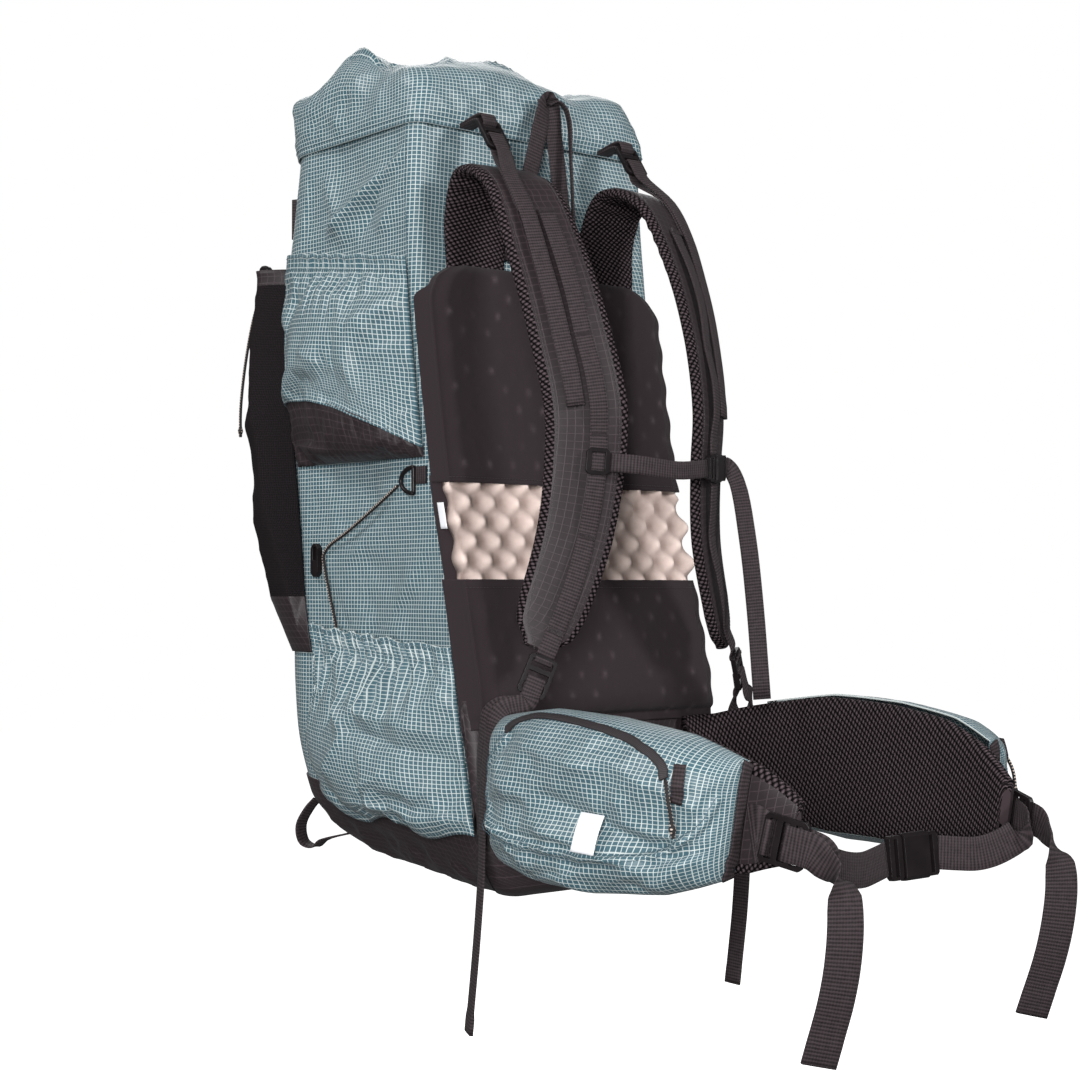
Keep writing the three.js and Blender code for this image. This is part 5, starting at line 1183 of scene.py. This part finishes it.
# Zip, garage and binding of each hip pocket: black zip tape along the top and down at the front, a
# folded webbing flap where its slider parks, and a tape that binds the pocket's front end.
COIL = 1.26
zip_tape, tree, shader = new_material("zip_tape", roughness=0.6, specular_ior_level=0.4)
cloth = node(tree, "ShaderNodeUVMap", uv_map="cloth").outputs["UV"]
coil = node(tree, "ShaderNodeTexWave", {"Vector": cloth, "Scale": scale(COIL, WAVE)}, bands_direction="Y")
surface(tree, shader, coil.outputs["Fac"], "#1d191b", "#3a3437", coil.outputs["Fac"], 0.5, 0.4)
ZIP_PATH = [(0.14, 0.8), (0.2, 0.9), (0.3, 0.93), (0.5, 0.9), (0.66, 0.84), (0.76, 0.72), (0.8, 0.56)]
FLAP_PATH = [(0.835, 0.74), (0.845, 0.55), (0.84, 0.32)]
BINDING_PATH = [(0.998, 0.97), (0.998, 0.6), (0.998, 0.2), (0.998, -0.2), (0.997, -0.6), (0.99, -0.93)]


def laid_on_pocket(name, path, width, lift, thick, material, count=40):
    """A tape laid on the hip pocket along a path of places, on both sides of the pack."""
    line, out = on_pocket(path, count)
    line = line + out * lift
    wide = unit(np.cross(out, np.gradient(line, axis=0)))
    for side, mirror in SIDES:
        piece = ribbon(f"{name}_{side}", line * mirror, wide * mirror, out * mirror, width, thick, material)
        dress(piece)


laid_on_pocket("pocket_zip", ZIP_PATH, 7, 0.9, 1.4, zip_tape, 60)
laid_on_pocket("zip_flap", FLAP_PATH, 9, 2.4, 1.6, webbing, 16)
laid_on_pocket("pocket_binding", BINDING_PATH, 10, 1.2, 1.6, webbing, 50)

# White tags: plain bare woven tags, one sewn in the seam of the left hip pocket and a small one in the
# edge of the pad's window.
TAG_THREAD = 0.785
white_tag, tree, shader = new_material("woven_tag", roughness=0.6)
cloth = node(tree, "ShaderNodeUVMap", uv_map="cloth").outputs["UV"]
threads = node(tree, "ShaderNodeTexWave",
               {"Vector": cloth, "Scale": scale(TAG_THREAD, WAVE), "Distortion": 1.0}).outputs["Fac"]
surface(tree, shader, threads, "#e8eaee", "#fbfcff", threads, 0.2, 0.2)
TAG_WIDTH, TAG_TALL, TAG_THICK, TAG_ROWS = 22, 29, 0.5, 12
line, out = on_pocket([(0.55, 0.06), (0.55, -0.26)], TAG_ROWS)
line = line[0] + unit(line[-1] - line[0]) * np.linspace(0, TAG_TALL, TAG_ROWS)[:, None]
out = np.repeat(unit(out.mean(0))[None], TAG_ROWS, 0)
bow = np.sin(np.linspace(0, np.pi, TAG_ROWS)) * 1.2 + 3.4
line, out = to_left(line + out * bow[:, None]), to_left(out)
wide = unit(np.cross(out, np.gradient(line, axis=0)))
dress(ribbon("hip_tag", line, wide, out, TAG_WIDTH, TAG_THICK, white_tag))
PAD_TAG_WIDTH = 9
line = off_bag(-1.5, np.linspace(-366, -388, 8), 4.0)
wide, out = (np.repeat([way], 8, 0) for way in ((0.0, 1.0, 0.0), (-1.0, 0.0, 0.0)))
dress(ribbon("pad_tag", line, wide, out, PAD_TAG_WIDTH, TAG_THICK, white_tag))

# Belt: a webbing patch on each wing tip holds a ladder lock; the belt goes from the clip in the middle
# through each lock and ends in a folded tail that hangs down.
for name in ("hip_lock_right", "hip_lock_left", "hip_clip_socket", "hip_clip_tongue"):
    moulded(name)
TIP = 13
tip_along, tip_out = wing[3][TIP], wing[2][TIP] * wing_face
hip_lock = Lock(off_wing(wing, TIP, -6, WEBBING / 2 + AROUND_BACK + 2) + tip_along * 12,
                np.cross(-tip_along, tip_out), -tip_along)
web_pair("hip_tip", [(off_wing(wing, TIP - 1, -8, WEBBING / 2 + 1), hip_lock.x),
                     hip_lock.at(bar_at(0) + 7, -AROUND_BACK), *hip_lock.around(0, -1)],
         HIP_WEB, spread=(16, 22))
CLIP_Y, CLIP_Z = -398, -632
belt_level = np.array((0, 0.1, 1))


def belt(reach, twist):
    """The right half of the belt; the two tails hang turned the same way, so the left has a twist of -1."""
    return [*sampled([((reach, CLIP_Y, CLIP_Z), belt_level),
                      ((reach + (118 - reach) * 0.45, CLIP_Y - 14, CLIP_Z - 2), belt_level),
                      ((102, -421, -625), belt_level), hip_lock.at(bar_at(3) - 8, -AROUND_BACK - 0.6)], 8),
            *hip_lock.around(2, 1),
            *sampled([hip_lock.at(bar_at(3) - 8, AROUND_BACK + 1),
                      ((121, -446, -632), (0.5 * twist, -0.2, -0.8)),
                      ((121, -450, -656), (0.8 * twist, -0.5, -0.3)),
                      ((120, -444, -700), (0.8 * twist, -0.6, 0)),
                      ((119, -424, -758), (0.8 * twist, -0.6, 0))], 12)]


socket_reach = HIP_WEB * 1.1 + 5 + CLIP_BAR / 2 + CLIP_SPARE
tongue_reach = CLIP_BAR + 0.6 + CLIP_SPARE
for (side, mirror), reach, twist in zip(SIDES, (socket_reach, tongue_reach), (1, -1)):
    places = [(p * mirror, w * mirror) for p, w in belt(reach, twist)]
    dress(web(f"hip_belt_{side}_web", places, HIP_WEB, folded=22), f"hip_webbing_{side}")

# Zip pulls: short cords knotted through the sliders of the hip-pocket zips.
ZIP_PULL = [(0, 0, 0), (4, -5, -3), (7, -10, -13), (7, -13, -25), (6, -14, -38)]
pull_route = hip_pocket(0.8, 0.55, CORD / 2) + np.array(ZIP_PULL, float)
for side, mirror in SIDES:
    add_cord(f"zip_pull_{side}", pull_route * mirror, knot=True)

# Side compression: a webbing tab with a ring at the back edge and a hook at the front seam of each side.
web_pair("side_tab", [(off_side(y, -342.0, WEBBING / 2), up) for y in (-7.0, 0.0, 7.0)], NARROW_WEB)
RING_ROD = 1.9
for side in ("right", "left"):
    moulded(f"cord_hook_{side}", 1.2)
    solid = np.array([v.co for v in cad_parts[f"d_ring_{side}"].data.vertices]) * 1000
    (_, y0, z0), (_, y1, z1) = solid.min(0), solid.max(0)
    half, level = (z1 - z0) / 2 - RING_ROD + 2, (z0 + z1) / 2
    sweep = np.linspace(-np.pi / 2, np.pi / 2, 40)
    bow = np.stack([np.cos(sweep) * (y1 - y0 - 2 * RING_ROD), np.sin(sweep) * half], -1)
    bar = np.linspace((0, half), (0, -half), 14)[1:]
    route = np.concatenate([bow, bar])
    line = np.stack([np.full(len(route), solid[:, 0].mean()), y0 + RING_ROD + route[:, 0],
                     level + route[:, 1]], -1)
    dress(tube(f"d_ring_{side}_moulded", line, RING_ROD, plastic, 12), f"d_ring_{side}")

# Bottom loops: webbing loops for a tool at the lower front corners.
BOTTOM_LOOP = [(0, 0), (7, -8), (15, -24), (12, -39), (2, -43), (-7, -37)]
loop_foot, loop_end = off_bag(3.5, LOOP_HEIGHTS, 2 * SEAT + CLOTH + WEBBING / 2)
diagonal = math.sqrt(0.5)
loop_across = np.array((0.95, -0.3, 0))
loop = [loop_foot + (out * diagonal, out * diagonal, drop) for out, drop in BOTTOM_LOOP]
web_pair("bottom_loop", [(place, loop_across) for place in (*loop, loop_end)], NARROW_WEB)

# Front tab, lock and cord: a bare black tab at the upper left corner, and under it the cord that draws
# the mesh pocket's edge, held by a small sprung lock.
tab_foot, tab_head = (to_left(off_bag(3.75, -86.0, stand)) for stand in (2.8, 15.8))
tab = [((tab_foot + tab_head) / 2 + (0, 0, drop), tab_head - tab_foot) for drop in (-19, 0, 19)]
TAB_WEB = 13
dress(web("front_tab_web", tab, TAB_WEB), "front_tab")
cord_lock = moulded("front_cord_lock", 2.0)
FRONT_CORD = [(0, 0, -21), (-7, 6, -50), (-13, 12, -95), (-16, 16, -140), (-15, 18, -168)]
cord_route = to_left(off_bag(3.75, -124, 42.7)) + np.array(FRONT_CORD, float)
add_cord("front_cord", cord_route, knot=True)

# Stitching: thread in short dashes along each sewn line, slate blue on the cloth and black on the
# webbing, and bartacks of close thread where the daisy chains are tacked to the straps.


def thread(name, dark, light):
    """Sewing thread: a smooth twisted polyester with a slight shine."""
    material, tree, shader = new_material(name, roughness=0.45, specular_ior_level=0.5)
    place = node(tree, "ShaderNodeTexCoord").outputs["Object"]
    twist = node(tree, "ShaderNodeTexNoise", {"Vector": place, "Scale": scale(1.11)}).outputs["Fac"]
    surface(tree, shader, twist, dark, light)
    return material


blue_thread = thread("blue_thread", "#2b424c", "#5d7d89")
black_thread = thread("black_thread", "#1b1719", "#4a4144")
stitches = bpy.data.node_groups.new("stitches", "GeometryNodeTree")
stitches.interface.new_socket("Geometry", in_out="INPUT", socket_type="NodeSocketGeometry")
for name, kind in (("Pitch", "Float"), ("Thread", "Float"), ("Material", "Material")):
    stitches.interface.new_socket(name, in_out="INPUT", socket_type="NodeSocket" + kind)
stitches.interface.new_socket("Geometry", in_out="OUTPUT", socket_type="NodeSocketGeometry")
given = node(stitches, "NodeGroupInput").outputs
route = node(stitches, "GeometryNodeMeshToCurve", {"Mesh": given["Geometry"]}).outputs["Curve"]
spots = node(stitches, "GeometryNodeCurveToPoints", {"Curve": route, "Length": given["Pitch"]},
             mode="LENGTH").outputs
dash = node(stitches, "ShaderNodeMath", {0: given["Pitch"], 1: 0.72}, operation="MULTIPLY").outputs[0]
one = node(stitches, "GeometryNodeMeshCylinder", {"Vertices": 6, "Radius": given["Thread"], "Depth": dash})
spread = {"Points": spots["Points"], "Instance": one.outputs["Mesh"], "Rotation": spots["Rotation"]}
many = node(stitches, "GeometryNodeInstanceOnPoints", spread).outputs["Instances"]
whole = node(stitches, "GeometryNodeRealizeInstances", {"Geometry": many}).outputs["Geometry"]
sewn = node(stitches, "GeometryNodeSetMaterial",
            {"Geometry": whole, "Material": given["Material"]}).outputs["Geometry"]
node(stitches, "NodeGroupOutput", {"Geometry": sewn})


def add_stitches(name, lines, pitch, thick, material):
    """Stitches along lines of points in mm, turned into one plain mesh."""
    starts = np.cumsum([0] + [len(line) for line in lines])
    edges = [(a + k, a + k + 1) for a, line in zip(starts, lines) for k in range(len(line) - 1)]
    mesh = bpy.data.meshes.new(name)
    mesh.from_pydata((np.concatenate(lines) / 1000).tolist(), edges, [])
    piece = bpy.data.objects.new(name, mesh)
    scene.collection.objects.link(piece)
    sewing = piece.modifiers.new("stitches", "NODES")
    sewing.node_group = stitches
    values = {"Pitch": pitch / 1000, "Thread": thick / 2000, "Material": material}
    for item in stitches.interface.items_tree:
        if item.name in values:
            sewing[item.identifier] = values[item.name]
    done = bpy.data.meshes.new_from_object(piece.evaluated_get(bpy.context.evaluated_depsgraph_get()))
    piece.modifiers.remove(sewing)
    piece.data = done
    dress(piece)


def across_cloth(grid, row, first, last, behind, lift=0.3):
    """A line along one row of a cloth's grid, just over its face."""
    columns = np.linspace(first, last, 240)
    rows = np.full(len(columns), float(row))
    places, out = on_cloth(grid, rows, columns, np.asarray(behind, float))
    return places + out * lift


def both(lines):
    return [*lines, *(to_left(line) for line in lines)]


SEAM_PITCH, SEAM_THREAD, STRAP_PITCH, STRAP_THREAD, TACK_PITCH, TACK_THREAD = 3.0, 0.55, 3.2, 0.6, 0.9, 0.9
hem_rows = ((upper_grid, 1.3), (upper_grid, 5.5), (lower_grid, 1.3), (lower_grid, 6.3))
blue_lines = [across_cloth(grid, row, 1, POCKET_COLUMNS - 2, (0, 90, -330)) for grid, row in hem_rows]
blue_lines += [off_bag(np.full(40, 1.96), np.linspace(-40, -152, 40), 0.5)]
places, out = on_pocket(POCKET_SEAM, 200)
beside = unit(np.cross(out, np.gradient(places, axis=0)))
blue_lines += [places + out * 0.4 + beside * shift for shift in (-2.6, 2.6)]
add_stitches("cloth_stitches", both(blue_lines), SEAM_PITCH, SEAM_THREAD, blue_thread)
collar = roll[3] + away[3] * 0.4
add_stitches("collar_stitches", [np.concatenate([collar, collar[:1]])], SEAM_PITCH, SEAM_THREAD, blue_thread)
face_line, face_wide, face_out, _ = fine_strap
EDGE_IN = 8.5
share = 1 - 2 * EDGE_IN / strap_wide
face_deep = STRAP_THICK / 2 * (1 - share ** (2 / 0.45)) ** 0.375 + 0.25
black_lines = [(face_line + face_wide * (way * (strap_wide / 2 - EDGE_IN))[:, None]
                + face_out * (strap_face * face_deep)[:, None])[20:] for way in (1, -1)]
add_stitches("strap_stitches", both(black_lines), STRAP_PITCH, STRAP_THREAD, black_thread)
sleeve_rows = ((upper_sleeve, 87), (lower_sleeve, 5))
hems = [across_cloth(grid, row, 9, 156, (0, 60, -340)) for grid, row in sleeve_rows]
add_stitches("sleeve_stitches", hems, SEAM_PITCH, SEAM_THREAD, black_thread)
TACK_HALF, TACK_ROWS = 6.3, (-1.6, -0.8, 0.0, 0.8, 1.6)
tacks = []
for k in range(7, 21, 3):
    point, wide = on_strap(k, DAISY_SIDE, WEBBING / 2 + 0.25)
    bar = np.linspace(point - wide * TACK_HALF, point + wide * TACK_HALF, 12)
    tacks += [bar + strap[3][k] * shift for shift in TACK_ROWS]
add_stitches("bartacks", both(tacks), TACK_PITCH, TACK_THREAD, black_thread)
